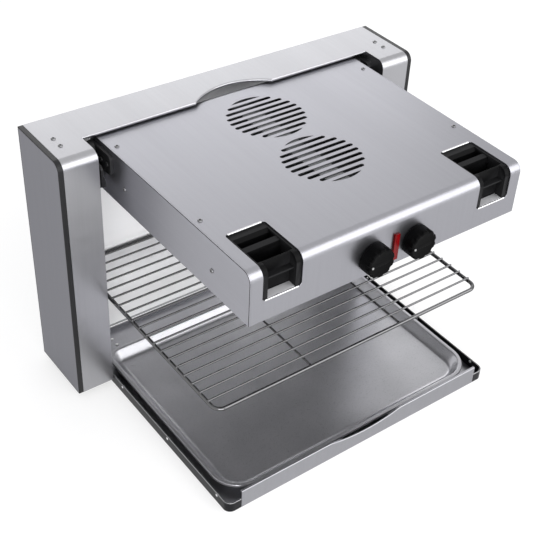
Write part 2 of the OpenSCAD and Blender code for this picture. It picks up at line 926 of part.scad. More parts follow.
// Black arm on the head's side that turns on the hinge pin, with two rivets
module hinge_arm() {
    back_y = head_pin_y + hinge_boss_r + 1;
    front_end_y = head_pin_y - arm_reach;
    top_z = head_pin_z + hinge_boss_r;
    corner_r = 5;
    rivet_in = 7;
    arm_rivet_h = 1;
    difference() {
        along_x(head_x, head_x + arm_t)
            union() {
                round_rect(front_end_y, back_y, top_z - arm_bar_h, top_z, corner_r);
                round_rect(head_pin_y - arm_tail_w, back_y, top_z - arm_tail_h, top_z, corner_r);
            }
        bar_x(head_x - eps, head_x + arm_t + eps, head_pin_y, head_pin_z, head_pin_r + turn_fit);
    }
    for (y = [front_end_y + rivet_in, front_end_y + rivet_in + arm_tail_w])
        bar_x(head_x + arm_t, head_x + arm_t + arm_rivet_h, y, top_z - arm_bar_h / 2, screw_head_r);
}

module left_hinge_arm() {
    color("#171718")
        mirror([1, 0, 0])
            hinge_arm();
}

module right_hinge_arm() {
    color("#171718")
        hinge_arm();
}

handle_deck_flat = 9.3;
handle_deck_slope = 4;
handle_deck_fall = 3;
handle_bar_set = 33.5;
handle_bar_d = 7;
handle_wall_set = 12;
handle_shelf_set = 5;
handle_shelf_drop = 17;

// Moulded handle: two cheeks that follow the head's bend, a rear deck, a bar across,
// a front wall with a shelf, and a floor that closes the finger spaces.
// Flanges behind the sheet hold it
module handle_insert(mid_x) {
    w = grip_w / 2 - seat_fit;
    wall_t = 1.8;
    rear_y = grip_rear_y - seat_fit;
    flat_y = rear_y - handle_deck_flat;
    deck_y = flat_y - handle_deck_slope;
    bar_y0 = head_front_y + handle_bar_set;
    bar_y1 = bar_y0 + handle_bar_d;
    front_wall_y = head_front_y + handle_wall_set;
    top_z = head_top_z - handle_flush;
    deck_z = top_z - handle_deck_fall;
    wall_top_z = top_z - wall_t / 2;
    floor_top_z = head_top_z - grip_deep;
    low_z = grip_low_z + seat_fit;
    shelf_z = head_top_z - handle_shelf_drop;
    flange_w = 3;
    translate([mid_x, 0, 0]) {
        intersection() {
            grip_space(0, seat_fit, grip_deep + wall_t, front_wall_y + wall_t - head_front_y);
            union() {
                for (s = [-1, 1]) {
                    along_x(s * (w - cheek_w), s * w)
                        head_outline(handle_flush);
                    along_x(s * (w - cheek_front_w), s * w)
                        intersection() {
                            head_outline(handle_flush);
                            rect(head_front_y, front_wall_y + wall_t, low_z, head_top_z);
                        }
                }
                along_x(-w, w)
                    union() {
                        polygon([[rear_y, top_z], [flat_y, top_z], [deck_y, deck_z], [deck_y, deck_z - wall_t],
                            [flat_y, top_z - wall_t], [rear_y, top_z - wall_t]]);
                        rect(deck_y, deck_y + wall_t, floor_top_z, deck_z);
                        polygon([[bar_y1, top_z - 1.1], [bar_y0, top_z - 1.6], [bar_y0 - 1.5, top_z - 6],
                            [bar_y0 - 1.5, floor_top_z], [bar_y0 + wall_t, floor_top_z], [bar_y0 + wall_t, top_z - 5],
                            [bar_y1, top_z - 3]]);
                        rect(front_wall_y, front_wall_y + wall_t, low_z, wall_top_z);
                        translate([front_wall_y + wall_t / 2, wall_top_z])
                            circle(r = wall_t / 2);
                        rect(head_front_y + handle_shelf_set, front_wall_y + wall_t, shelf_z, shelf_z + wall_t);
                        rect(front_wall_y, rear_y, floor_top_z - wall_t, floor_top_z);
                    }
            }
        }
        for (s = [-1, 1])
            along_x(s * (w - cheek_w), s * (w + flange_w))
                intersection() {
                    difference() {
                        head_outline(sheet_t + seat_fit);
                        head_outline(sheet_t + seat_fit + wall_t);
                    }
                    rect(head_front_y, rear_y + flange_w, low_z, head_top_z);
                }
        along_x(-w, w)
            rect(rear_y - flange_w, rear_y + flange_w, head_in_top_z - seat_fit - wall_t, head_in_top_z - seat_fit);
    }
}

module left_handle_insert() {
    color("#161617")
        handle_insert(-grip_x);
}

module right_handle_insert() {
    color("#161617")
        handle_insert(grip_x);
}

shield_in = 8;
shield_y0 = trough_y0 - shield_in;
shield_y1 = trough_y1 + 5 * shield_in;
shield_leg_w = 14;
baffle_half_w = 12;
baffle_drop = 9;
baffle_in = 8;

// Grey plate under the middle of the vent fields, folded down to stand on the heat shield
module vent_baffle() {
    top_z = head_in_top_z - baffle_drop;
    x0 = vent_x - baffle_half_w;
    x1 = vent_x + baffle_half_w;
    y0 = -vent_y1 - vent_step - vent_r + baffle_in;
    y1 = -vent_y1 + vent_r - baffle_in;
    color("#77787c") {
        block(x0, x1, y0, y1, top_z - shield_t, top_z);
        for (y = [y0, y1 - shield_t])
            block(x0, x1, y, y + shield_t, shield_z + shield_t, top_z - shield_t);
    }
}

// Heat shield between the heaters and the top of the head, on four folded legs
module heat_shield() {
    x1 = heater_window_x + shield_in;
    color("#3a3b3e") {
        block(-x1, x1, shield_y0, shield_y1, shield_z, shield_z + shield_t);
        for (s = [-1, 1], y = [shield_y0, trough_y1 + shield_in - shield_leg_w])
            block(s * (x1 - shield_t), s * x1, y, y + shield_leg_w, trough_z + trough_t, shield_z);
    }
}

function tube_y(i) = trough_y0 + trough_r + i * tube_pitch;

// Polished trough over each heating tube, all pressed from one sheet
module heat_reflector() {
    x1 = holder_x - holder_t - seat_fit;
    rim = 6;
    y0 = trough_y0 - trough_t;
    y1 = trough_y1 + trough_t;
    color("#d9dadd")
        union() {
            along_x(-x1, x1)
                difference() {
                    union() {
                        rect(y0 - rim, y1 + rim, trough_z, trough_z + trough_t);
                        for (i = [0:tube_n - 1])
                            translate([tube_y(i), trough_z])
                                circle(r = trough_r + trough_t);
                    }
                    for (i = [0:tube_n - 1])
                        translate([tube_y(i), trough_z])
                            circle(r = trough_r);
                    rect(y0 - 2 * rim, y1 + 2 * rim, trough_z - trough_r - 2 * trough_t, trough_z);
                }
            for (s = [-1, 1], y = [y0 - rim, y1])
                block(s * x1, s * (heater_window_x + shield_in + 1), y, y + rim, trough_z, trough_z + trough_t);
        }
}

// Steel plate that closes the underside of the head round the heater window
module heater_frame() {
    y0 = head_in_front_y + seat_fit;
    y1 = head_back_y - head_low_r / 2 - sheet_t;
    x1 = head_in_x - seat_fit;
    color("#a9aaad")
        difference() {
            block(-x1, x1, y0, y1, heater_z, heater_z + heater_plate_t);
            block(-heater_window_x, heater_window_x, trough_y0, trough_y1, heater_z - eps, heater_z + heater_plate_t + eps);
        }
    color("#a9aaad")
        for (y = [y0 + 1, y1 - 1 - heater_plate_t])
            block(-x1, x1, y, y + heater_plate_t, head_bot_z + sheet_t + seat_fit, heater_z);
}

// Quartz heating tubes with ceramic ends
module heating_tubes() {
    color("#e9e2d6")
        for (i = [0:tube_n - 1]) {
            bar_x(-tube_x, tube_x, tube_y(i), tube_z, tube_r);
            for (s = [-1, 1])
                bar_x(s * (tube_x - 2), s * (tube_x + tube_cap_l), tube_y(i), tube_z, tube_cap_r);
        }
}

// One plate at each side that carries the tube ends and closes the troughs
module tube_holders() {
    color("#8e8f93")
        both_sides()
            difference() {
                union() {
                    block(holder_x - holder_t, holder_x, trough_y0, trough_y1,
                        trough_z, shield_z - 2);
                    block(holder_x - holder_t, heater_window_x + shield_in - 1, trough_y0,
                        trough_y1, trough_z, trough_z + trough_t);
                }
                for (i = [0:tube_n - 1])
                    bar_x(holder_x - holder_t - eps, holder_x + eps, tube_y(i), tube_z, tube_cap_r + seat_fit);
            }
}

// Wire guard across the heater window: thin wires let into two thicker end wires
module tube_guard() {
    wire_n = 11;
    side_in = 12;
    end_out = 7;
    end_r = guard_r + 0.2;
    z = heater_z - end_r;
    span = 2 * (heater_window_x - side_in);
    y0 = trough_y0 - end_out;
    y1 = trough_y1 + end_out;
    color("#c4c5c8")
        union() {
            for (i = [0:wire_n - 1])
                bar_y(-span / 2 + i * span / (wire_n - 1), y0, y1, z, guard_r);
            for (y = [y0, y1])
                bar_x(-span / 2 - 4, span / 2 + 4, y, z, end_r);
        }
}

// Body of a control behind the front sheet, with a socket for the knob's stem
module control_body(mid_x, w, depth, h) {
    y0 = head_in_front_y + seat_fit;
    difference() {
        union() {
            bar_y(mid_x, y0, y0 + nose_l, knob_z, nose_r);
            block(mid_x - w / 2, mid_x + w / 2, y0 + nose_l, y0 + nose_l + depth, knob_z - h / 2, knob_z + h / 2);
        }
        bar_y(mid_x, y0 - eps, y0 + stem_l, knob_z, stem_r + turn_fit);
    }
}

module timer_body() {
    color("#d8d4c6")
        control_body(-knob_x, timer_w, timer_d, timer_h);
}

module heat_switch_body() {
    color("#2b2b2d")
        control_body(knob_x, switch_w, switch_d, switch_h);
}

// Red lens of the lamp, with a flange behind the front sheet
module lamp_lens() {
    w = lens_w / 2 - seat_fit;
    h = lens_h / 2 - seat_fit;
    color("#b3120f")
        union() {
            along_y(head_front_y - lens_out, head_in_front_y + seat_fit)
                round_rect(lens_x - w, lens_x + w, lens_z - h, lens_z + h, 0.8);
            block(lens_x - w - lens_flange, lens_x + w + lens_flange, head_in_front_y + seat_fit,
                head_in_front_y + seat_fit + lens_flange_t, lens_z - h - lens_flange, lens_z + h + lens_flange);
        }
}

// Holder that clips the lamp behind its lens
module lamp_holder() {
    y0 = head_in_front_y + 2 * seat_fit + lens_flange_t;
    color("#efece2")
        block(lens_x - lens_w / 2, lens_x + lens_w / 2, y0, y0 + lamp_l, lens_z - lens_h / 2, lens_z + lens_h / 2);
}

// Screws of the head: two along each side of the top and two in each side plate
module head_screws() {
    color("#d5d6d8")
        for (s = [-1, 1]) {
            for (y = head_screw_y)
                translate([s * head_screw_x, y, head_top_z])
                    screw(screw_l);
            for (y = head_side_screw_y)
                translate([s * head_x, y, head_side_screw_z])
                    rotate([0, s * 90, 0])
                        screw(screw_l);
        }
}

// Knob: plain skirt, scalloped front with a raised bar, and a stem into its control
module knob(mid_x) {
    skirt_l = knob_l - cap_l;
    color("#141415")
        difference() {
            translate([mid_x, head_front_y - knob_gap, knob_z])
                rotate([90, 0, 0])
                    union() {
                        cylinder(r = knob_r, h = skirt_l, $fn = 64);
                        translate([0, 0, skirt_l])
                            linear_extrude(cap_l)
                                knob_cap_outline();
                        translate([-knob_bar_x, -knob_bar_w / 2, knob_l])
                            cube([2 * knob_bar_x, knob_bar_w, knob_bar_h]);
                        translate([0, 0, -stem_l])
                            cylinder(r = stem_r, h = stem_l);
                    }
            dot_at(mid_x, knob_front_y - eps, knob_front_y + dot_deep + 0.1, dot_r + seat_fit / 2);
        }
}

// Outline of a knob's front, with shallow scallops for the fingers
module knob_cap_outline() {
    difference() {
        circle(r = knob_r, $fn = 64);
        for (i = [0:knob_scallops - 1])
            rotate(i * 360 / knob_scallops)
                translate([knob_r + scallop_r - scallop_in, 0])
                    circle(r = scallop_r, $fn = 24);
    }
}

// Round bar along Y at the place of the white dot of a knob
module dot_at(mid_x, y0, y1, r) {
    bar_y(mid_x + dot_out * cos(dot_angle), y0, y1, knob_z + dot_out * sin(dot_angle), r);
}

module knob_dot(mid_x) {
    color("#f2f2f2")
        dot_at(mid_x, knob_front_y - 0.1, knob_front_y + dot_deep, dot_r);
}

module timer_knob() {
    knob(-knob_x);
}

module timer_knob_dot() {
    knob_dot(-knob_x);
}

module heat_knob() {
    knob(knob_x);
}

module heat_knob_dot() {
    knob_dot(knob_x);
}

// Closed loop of the rack's frame wire, with rounded corners
module rack_frame() {
    r = rack_corner_r;
    color("#c3c4c6")
        union() {
            for (s = [-1, 1])
                bar_y(s * rack_x, rack_front_y + r, rack_back_y - r, rack_z, rack_wire_r);
            for (y = [rack_front_y, rack_back_y])
                bar_x(-rack_x + r, rack_x - r, y, rack_z, rack_wire_r);
            rack_corner(rack_x - r, rack_back_y - r, 0);
            rack_corner(-rack_x + r, rack_back_y - r, 90);
            rack_corner(-rack_x + r, rack_front_y + r, 180);
            rack_corner(rack_x - r, rack_front_y + r, 270);
        }
}

module rack_corner(x, y, turn) {
    translate([x, y, rack_z])
        rotate(turn)
            rotate_extrude(angle = 90)
                translate([rack_corner_r, 0])
                    circle(r = rack_wire_r);
}

// Cross wires laid on the side wires, rear wire first
module rack_cross_wires() {
    first_y = rack_back_y - rack_wire_r - cross_wire_r - 2;
    step = (first_y - rack_front_y) / cross_n;
    color("#c3c4c6")
        for (i = [0:cross_n - 1])
            bar_x(-rack_x - rack_wire_r / 2, rack_x + rack_wire_r / 2, first_y - i * step, cross_z, cross_wire_r);
}

// Two wires that carry the cross wires from below
module rack_support_wires() {
    z = rack_z + rack_wire_r - cross_wire_r;
    color("#c3c4c6")
        for (s = [-1, 1])
            bar_y(s * support_x, rack_front_y + rack_wire_r + 0.1, rack_back_y - rack_wire_r - 0.1, z, cross_wire_r);
}

// Aluminium floor, front panel and low rear hem of the tray; with the tray folded up it is the front cover
module tray_cover() {
    floor_x = tray_x - tray_wall_t - seat_fit / 2;
    corner_r = tray_corner_r - tray_wall_t;
    color("#c6c7cb")
        difference() {
            union() {
                translate([0, 0, tray_under_z])
                    linear_extrude(sheet_t)
                        front_round_rect(-floor_x, floor_x, tray_front_y + tray_wall_t, tray_rear_y, corner_r);
                block(-panel_x + tray_corner_r / 4, panel_x - tray_corner_r / 4, tray_front_y, tray_front_y + 2 * tray_wall_t,
                    tray_under_z, tray_floor_z);
                block(-panel_x, panel_x, tray_front_y, tray_front_y + sheet_t, tray_under_z, panel_top_z);
                block(-panel_x, panel_x, tray_front_y, tray_front_y + panel_edge_t, panel_top_z - panel_edge_h, panel_top_z);
                block(-floor_x, floor_x, tray_rear_y - tray_wall_t, tray_rear_y, tray_under_z, tray_under_z + rear_hem_h);
            }
            panel_recess();
        }
}

// Arc cut from the panel's top edge for the fingers
module panel_recess() {
    r = arc_r(recess_x, panel_recess_d);
    along_y(tray_front_y - eps, tray_front_y + panel_edge_t + eps)
        translate([0, panel_top_z - panel_recess_d + r])
            circle(r = r, $fn = 128);
}

// Dark side walls of the tray, round the front corners up to the panel
module tray_rim() {
    color("#4a4b50")
        translate([0, 0, tray_under_z])
            linear_extrude(tray_wall_h)
                difference() {
                    front_round_rect(-tray_x, tray_x, tray_front_y, tray_wall_rear_y, tray_corner_r);
                    front_round_rect(-tray_x + tray_wall_t, tray_x - tray_wall_t, tray_front_y + tray_wall_t,
                        tray_wall_rear_y + eps, tray_corner_r - tray_wall_t);
                    rect(-panel_x - seat_fit / 2, panel_x + seat_fit / 2, tray_front_y - eps, tray_front_y + tray_corner_r);
                }
}

// Arm that carries one side of the tray on its pivot pin
module tray_arm() {
    foot_l = 26;
    foot_h = 11;
    corner_r = 3;
    difference() {
        along_x(tray_arm_out_x - tray_arm_t, tray_arm_out_x)
            union() {
                translate([tray_pin_y, tray_pin_z])
                    circle(r = arm_r);
                rect(tray_pin_y - arm_r, tray_pin_y + arm_r, tray_floor_z + foot_h / 2, tray_pin_z);
                round_rect(tray_pin_y - foot_l, tray_pin_y + foot_l, tray_floor_z + seat_fit, tray_floor_z + foot_h, corner_r);
            }
        bar_x(tray_arm_out_x - tray_arm_t - eps, tray_arm_out_x + eps, tray_pin_y, tray_pin_z, tray_pin_r + turn_fit);
    }
}

module left_tray_arm() {
    color("#3b3c40")
        mirror([1, 0, 0])
            tray_arm();
}

module right_tray_arm() {
    color("#3b3c40")
        tray_arm();
}

rivet_r = 2;
rivet_h = 1.2;
rivet_up = 10;
rivet_first = 22;
rivet_step = 101;
tray_screw_y = [for (i = [0:2]) tray_front_y + rivet_first + i * rivet_step];
floor_rivet_in = 35;
floor_rivet_y = [tray_wall_rear_y - 3 * rivet_r, tray_wall_rear_y - 9 * rivet_r];

// Flat rivets along the tray's side walls and in its floor, near the pivot
module tray_screws() {
    color("#cfd0d3")
        for (s = [-1, 1]) {
            for (y = tray_screw_y)
                bar_x(s * (tray_arm_out_x - rivet_h), s * tray_arm_out_x, y, tray_under_z + rivet_up, rivet_r);
            for (y = floor_rivet_y)
                bar_z(s * (tray_arm_out_x - floor_rivet_in), y, tray_floor_z, tray_floor_z + rivet_h, rivet_r);
        }
}

// Section of the pan's edge: skirt, flat rim, sloping wall and the edge of the floor.
// The first coordinate runs outwards, with 0 at the outside of the rim
module pan_section() {
    lap = 3;
    foot = -pan_rim_w - pan_slope_w;
    polygon([[0, pan_h - pan_rim_skirt], [0, pan_h], [-pan_rim_w, pan_h], [foot, pan_t], [foot - lap, pan_t],
        [foot - lap, 0], [foot - pan_t / 2, 0], [-pan_rim_w - pan_t / 2, pan_h - pan_t],
        [-pan_t, pan_h - pan_t], [-pan_t, pan_h - pan_rim_skirt]]);
}

// Removable drip pan with round corners, a flat rim and sloping walls
module drip_pan() {
    x0 = pan_x - pan_corner_r;
    x1 = pan_x - pan_rear_r;
    y0 = pan_front_y + pan_corner_r;
    y1 = pan_back_y - pan_rear_r;
    color("#55565b")
        translate([0, 0, pan_bot_z])
            union() {
                linear_extrude(pan_t)
                    pan_floor(pan_rim_w + pan_slope_w + 1);
                pan_corner(x1, y1, 0, pan_rear_r);
                pan_corner(-x1, y1, 90, pan_rear_r);
                pan_corner(-x0, y0, 180, pan_corner_r);
                pan_corner(x0, y0, 270, pan_corner_r);
                pan_side([pan_x, y0], 0, y1 - y0);
                pan_side([x1, pan_back_y], 90, 2 * x1);
                pan_side([-pan_x, y1], 180, y1 - y0);
                pan_side([-x0, pan_front_y], 270, 2 * x0);
            }
}

// Plan of the pan, drawn in by inset
module pan_floor(inset) {
    front_r = pan_corner_r - inset;
    rear_r = pan_rear_r - inset;
    x = pan_x - inset;
    y0 = pan_front_y + inset;
    y1 = pan_back_y - inset;
    rect(-x, x, y0 + front_r, y1 - rear_r);
    rect(-x + front_r, x - front_r, y0, y1 - rear_r);
    rect(-x + rear_r, x - rear_r, y0 + front_r, y1);
    for (s = [-1, 1]) {
        translate([s * (x - front_r), y0 + front_r])
            circle(r = front_r);
        translate([s * (x - rear_r), y1 - rear_r])
            circle(r = rear_r);
    }
}

module pan_corner(x, y, turn, r) {
    translate([x, y, 0])
        rotate(turn)
            rotate_extrude(angle = 90)
                translate([r, 0])
                    pan_section();
}

module pan_side(from, turn, length) {
    translate([from[0], from[1], 0])
        rotate(turn)
            rotate([90, 0, 0])
                mirror([0, 0, 1])
                    linear_extrude(length)
                        pan_section();
}

frame_shell();
left_end_frame();
right_end_frame();
left_side_plate();
right_side_plate();
back_plate();
polished_liner();
left_pillar_cap();
right_pillar_cap();
cable_gland();
terminal_block();
frame_screws();
left_hinge_bracket();
right_hinge_bracket();
hinge_pins();
hinge_washers();
left_rack_guide();
right_rack_guide();
tray_pivot_pins();
tray_pivot_bushes();
head_shell();
head_left_side();
head_right_side();
left_hinge_arm();
right_hinge_arm();
left_handle_insert();
right_handle_insert();
vent_baffle();
heat_shield();
heat_reflector();
heater_frame();
heating_tubes();
tube_holders();
tube_guard();
timer_body();
heat_switch_body();
lamp_lens();
lamp_holder();
head_screws();
timer_knob();
timer_knob_dot();
heat_knob();
heat_knob_dot();
rack_frame();
rack_cross_wires();
rack_support_wires();
tray_cover();
tray_rim();
left_tray_arm();
right_tray_arm();
tray_screws();
drip_pan();
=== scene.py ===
import json
import math

import bmesh
import bpy
from mathutils import Matrix, Vector

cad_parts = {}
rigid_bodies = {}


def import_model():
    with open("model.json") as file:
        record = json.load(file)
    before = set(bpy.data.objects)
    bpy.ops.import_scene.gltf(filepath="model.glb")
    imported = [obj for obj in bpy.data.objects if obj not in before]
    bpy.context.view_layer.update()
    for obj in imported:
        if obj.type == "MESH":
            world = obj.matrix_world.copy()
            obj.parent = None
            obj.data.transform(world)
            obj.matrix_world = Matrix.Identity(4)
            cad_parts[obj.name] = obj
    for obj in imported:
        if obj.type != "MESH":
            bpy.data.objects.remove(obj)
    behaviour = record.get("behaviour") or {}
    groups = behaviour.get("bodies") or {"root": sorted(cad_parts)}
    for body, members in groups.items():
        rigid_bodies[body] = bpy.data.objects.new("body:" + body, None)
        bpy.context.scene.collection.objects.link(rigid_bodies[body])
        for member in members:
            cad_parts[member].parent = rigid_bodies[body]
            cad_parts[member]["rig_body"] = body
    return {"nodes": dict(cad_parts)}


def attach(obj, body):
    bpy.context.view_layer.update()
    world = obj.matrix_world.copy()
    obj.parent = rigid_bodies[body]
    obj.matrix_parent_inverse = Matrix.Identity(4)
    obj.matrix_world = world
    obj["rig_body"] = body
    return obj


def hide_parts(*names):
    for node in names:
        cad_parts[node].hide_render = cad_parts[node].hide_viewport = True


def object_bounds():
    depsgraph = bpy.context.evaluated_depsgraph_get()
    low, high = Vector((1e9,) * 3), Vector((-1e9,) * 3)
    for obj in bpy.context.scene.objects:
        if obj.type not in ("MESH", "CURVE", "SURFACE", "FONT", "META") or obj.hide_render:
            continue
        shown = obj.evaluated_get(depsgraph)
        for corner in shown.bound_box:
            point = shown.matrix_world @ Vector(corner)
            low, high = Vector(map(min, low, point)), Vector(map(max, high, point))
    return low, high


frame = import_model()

cad_low, cad_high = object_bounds()


# Shell of the wall frame: top strip and both pillars folded from 1.5 mm brushed aluminium.
# The grain runs from front to back and down over the bends. Cut edges are broken a little,
# and the lip along the front of the strip is rolled.
near = 1e-4                    # a point this close to a plane lies on it
sharp_angle = 0.3              # a solid's edge above this is a real edge, not a facet
crease = math.radians(32)      # an edge above this is broken, or kept sharp


def place(tree, kind, inputs=None, **settings):
    """Puts a node in a tree, sets it, and feeds its inputs with values or with other nodes."""
    node = tree.nodes.new(kind)
    for key, value in settings.items():
        setattr(node, key, value)
    for key, value in (inputs or {}).items():
        if isinstance(value, bpy.types.NodeSocket):
            tree.links.new(value, node.inputs[key])
        else:
            node.inputs[key].default_value = value
    return node


def new_effect(name, inputs, outputs):
    """An empty node group with its sockets, and the nodes at its two ends."""
    tree = bpy.data.node_groups.new(name, "ShaderNodeTree")
    for socket, kind, value in inputs:
        made = tree.interface.new_socket(socket, in_out="INPUT", socket_type=kind)
        if value is not None:
            made.default_value = value
    for socket, kind in outputs:
        tree.interface.new_socket(socket, in_out="OUTPUT", socket_type=kind)
    return tree, place(tree, "NodeGroupInput"), place(tree, "NodeGroupOutput")


def new_finish(name):
    """An empty material, with its node tree and its shader."""
    material = bpy.data.materials.new(name)
    material.use_nodes = True
    return material, material.node_tree, material.node_tree.nodes["Principled BSDF"]


def own_place(tree):
    """Each point's place in the object's own frame."""
    return place(tree, "ShaderNodeTexCoord").outputs["Object"]


def tone(colour, share):
    """A colour times a share, no brighter than white, as a shader takes it."""
    return (*(min(1, c * share) for c in colour), 1)


brushed_grain, grain_in, grain_out = new_effect(
    "brushed_grain",
    [("Vector", "NodeSocketVector", None), ("Contrast", "NodeSocketFloat", 0.5)],
    [("Scratches", "NodeSocketFloat"), ("Cloud", "NodeSocketFloat")])
hairlines = place(brushed_grain, "ShaderNodeTexNoise",
                  {"Vector": grain_in.outputs["Vector"], "Scale": 1.0, "Detail": 3.0,
                   "Roughness": 0.65})
broad_lines = place(brushed_grain, "ShaderNodeTexNoise",
                    {"Vector": grain_in.outputs["Vector"], "Scale": 0.17, "Detail": 1.0,
                     "Roughness": 0.5})
both_lines = place(brushed_grain, "ShaderNodeMix",
                   {"Factor": 0.4, "A": hairlines.outputs["Fac"],
                    "B": broad_lines.outputs["Fac"]})
sharpened = place(brushed_grain, "ShaderNodeMapRange",
                  {"Value": both_lines.outputs["Result"], "From Min": 0.3, "From Max": 0.7})
flattened = place(brushed_grain, "ShaderNodeMix",
                  {"Factor": grain_in.outputs["Contrast"], "A": 0.5,
                   "B": sharpened.outputs["Result"]})
hand_marks = place(brushed_grain, "ShaderNodeTexNoise",
                   {"Vector": grain_in.outputs["Vector"], "Scale": 0.012, "Detail": 2.0,
                    "Roughness": 0.5})
brushed_grain.links.new(flattened.outputs["Result"], grain_out.inputs["Scratches"])
brushed_grain.links.new(hand_marks.outputs["Fac"], grain_out.inputs["Cloud"])


def brushed_metal(name, colour, grain, roughness, contrast=0.5, lines=0.06, metallic=1.0):
    """Brushed metal. Grain is the number of scratches per metre across X, Y and Z."""
    material, tree, shader = new_finish(name)
    stretched = place(tree, "ShaderNodeMapping", {"Vector": own_place(tree), "Scale": grain})
    pattern = place(tree, "ShaderNodeGroup", node_tree=brushed_grain)
    pattern.inputs["Contrast"].default_value = contrast
    tree.links.new(stretched.outputs["Vector"], pattern.inputs["Vector"])
    tint = place(tree, "ShaderNodeMix", {"Factor": pattern.outputs["Scratches"]}, data_type="RGBA")
    tint.inputs["A"].default_value = tone(colour, 1 - lines)
    tint.inputs["B"].default_value = tone(colour, 1 + lines)
    tree.links.new(tint.outputs[2], shader.inputs["Base Color"])
    uneven = place(tree, "ShaderNodeMapRange",
                   {"Value": pattern.outputs["Cloud"], "To Min": roughness - 0.05,
                    "To Max": roughness + 0.05})
    tree.links.new(uneven.outputs["Result"], shader.inputs["Roughness"])
    relief = place(tree, "ShaderNodeBump",
                   {"Height": pattern.outputs["Scratches"], "Strength": 0.12, "Distance": 0.00006})
    tree.links.new(relief.outputs["Normal"], shader.inputs["Normal"])
    shader.inputs["Metallic"].default_value = metallic
    # Scratches shade one another, so the sheet doesn't turn white at a shallow angle.
    shader.inputs["Specular Tint"].default_value = (0.55, 0.55, 0.55, 1)
    return material


def merged_copy(node):
    """A CAD solid's mesh with its loose triangles joined and its flat faces made whole."""
    shape = bmesh.new()
    shape.from_mesh(frame["nodes"][node].data)
    bmesh.ops.remove_doubles(shape, verts=shape.verts, dist=2e-6)
    bmesh.ops.dissolve_limit(shape, angle_limit=math.radians(0.4), verts=shape.verts,
                             edges=shape.edges)
    return shape


def round_off(shape, radius, cuts, wanted):
    """Rounds the sharp edges whose middle passes a test of its X, Y and Z. Gives the new faces."""
    chosen = [e for e in shape.edges
              if e.calc_face_angle(0) > sharp_angle
              and wanted(*((e.verts[0].co + e.verts[1].co) / 2))]
    return bmesh.ops.bevel(shape, geom=chosen, offset=radius, segments=cuts, profile=0.5,
                           affect="EDGES", material=-1, clamp_overlap=True)["faces"]


def finish_piece(name, shape, material, edge=0, steps=2, node=None, body=None):
    """Makes an object of a bmesh, with broken edges, its material and the body it moves with."""
    mesh = bpy.data.meshes.new(name)
    shape.to_mesh(mesh)
    shape.free()
    piece = bpy.data.objects.new(name, mesh)
    bpy.context.scene.collection.objects.link(piece)
    mesh.materials.append(material)
    mesh.shade_smooth()
    if edge:
        rounding = piece.modifiers.new("broken_edges", "BEVEL")
        rounding.width = edge
        rounding.segments = steps
        rounding.limit_method = "ANGLE"
        rounding.angle_limit = crease
    else:
        mesh.set_sharp_from_angle(angle=crease)
    flat = piece.modifiers.new("flat_faces", "WEIGHTED_NORMAL")
    flat.keep_sharp = True
    flat.weight = 80
    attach(piece, body or frame["nodes"][node]["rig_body"])
    if node:
        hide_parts(node)
    return piece


def copy_solid(name, node, material, edge, steps=2, rounds=()):
    """A copy of a CAD solid with its edges broken. Each entry of rounds goes to round_off."""
    shape = merged_copy(node)
    for radius, cuts, wanted in rounds:
        round_off(shape, radius, cuts, wanted)
    return finish_piece(name, shape, material, edge, steps, node=node)


frame_top_z = 0.16
lip_low_z = 0.1565
strip_half_w = 0.1935
strip_front_y = -0.055
recess_centre_y = -0.11666
recess_r = 0.08066
grain_front_to_back = (1600, 26, 26)


def on_the_lip(x, y, z):
    """True on the two long edges of the strip's lip, along its straight front and its recess."""
    in_front = abs(y - strip_front_y) < near and abs(x) < strip_half_w
    in_recess = abs(math.hypot(x, y - recess_centre_y) - recess_r) < near
    return (in_front or in_recess) and (abs(z - frame_top_z) < near or abs(z - lip_low_z) < near)


frame_sheet = brushed_metal("frame_sheet", (0.39, 0.39, 0.408), grain_front_to_back, 0.33)
copy_solid("frame_shell_sheet", "frame_shell", frame_sheet, 0.0003,
           rounds=[(0.0015, 5, on_the_lip)])


# End frames of the pillars: black moulded plastic, pushed into the open side of each pillar.
# A fine spark-eroded texture makes them satin.
moulded_skin, skin_in, skin_out = new_effect(
    "moulded_skin",
    [("Vector", "NodeSocketVector", None), ("Grain size", "NodeSocketFloat", 900.0)],
    [("Grain", "NodeSocketFloat"), ("Cloud", "NodeSocketFloat"), ("Edge", "NodeSocketFloat")])
pits = place(moulded_skin, "ShaderNodeTexNoise",
             {"Vector": skin_in.outputs["Vector"], "Scale": skin_in.outputs["Grain size"],
              "Detail": 2.0})
mist = place(moulded_skin, "ShaderNodeTexNoise",
             {"Vector": skin_in.outputs["Vector"], "Scale": 22.0, "Detail": 3.0})
corners = place(moulded_skin, "ShaderNodeNewGeometry")
rubbed = place(moulded_skin, "ShaderNodeMapRange",
               {"Value": corners.outputs["Pointiness"], "From Min": 0.52, "From Max": 0.62})
moulded_skin.links.new(pits.outputs["Fac"], skin_out.inputs["Grain"])
moulded_skin.links.new(mist.outputs["Fac"], skin_out.inputs["Cloud"])
moulded_skin.links.new(rubbed.outputs["Result"], skin_out.inputs["Edge"])


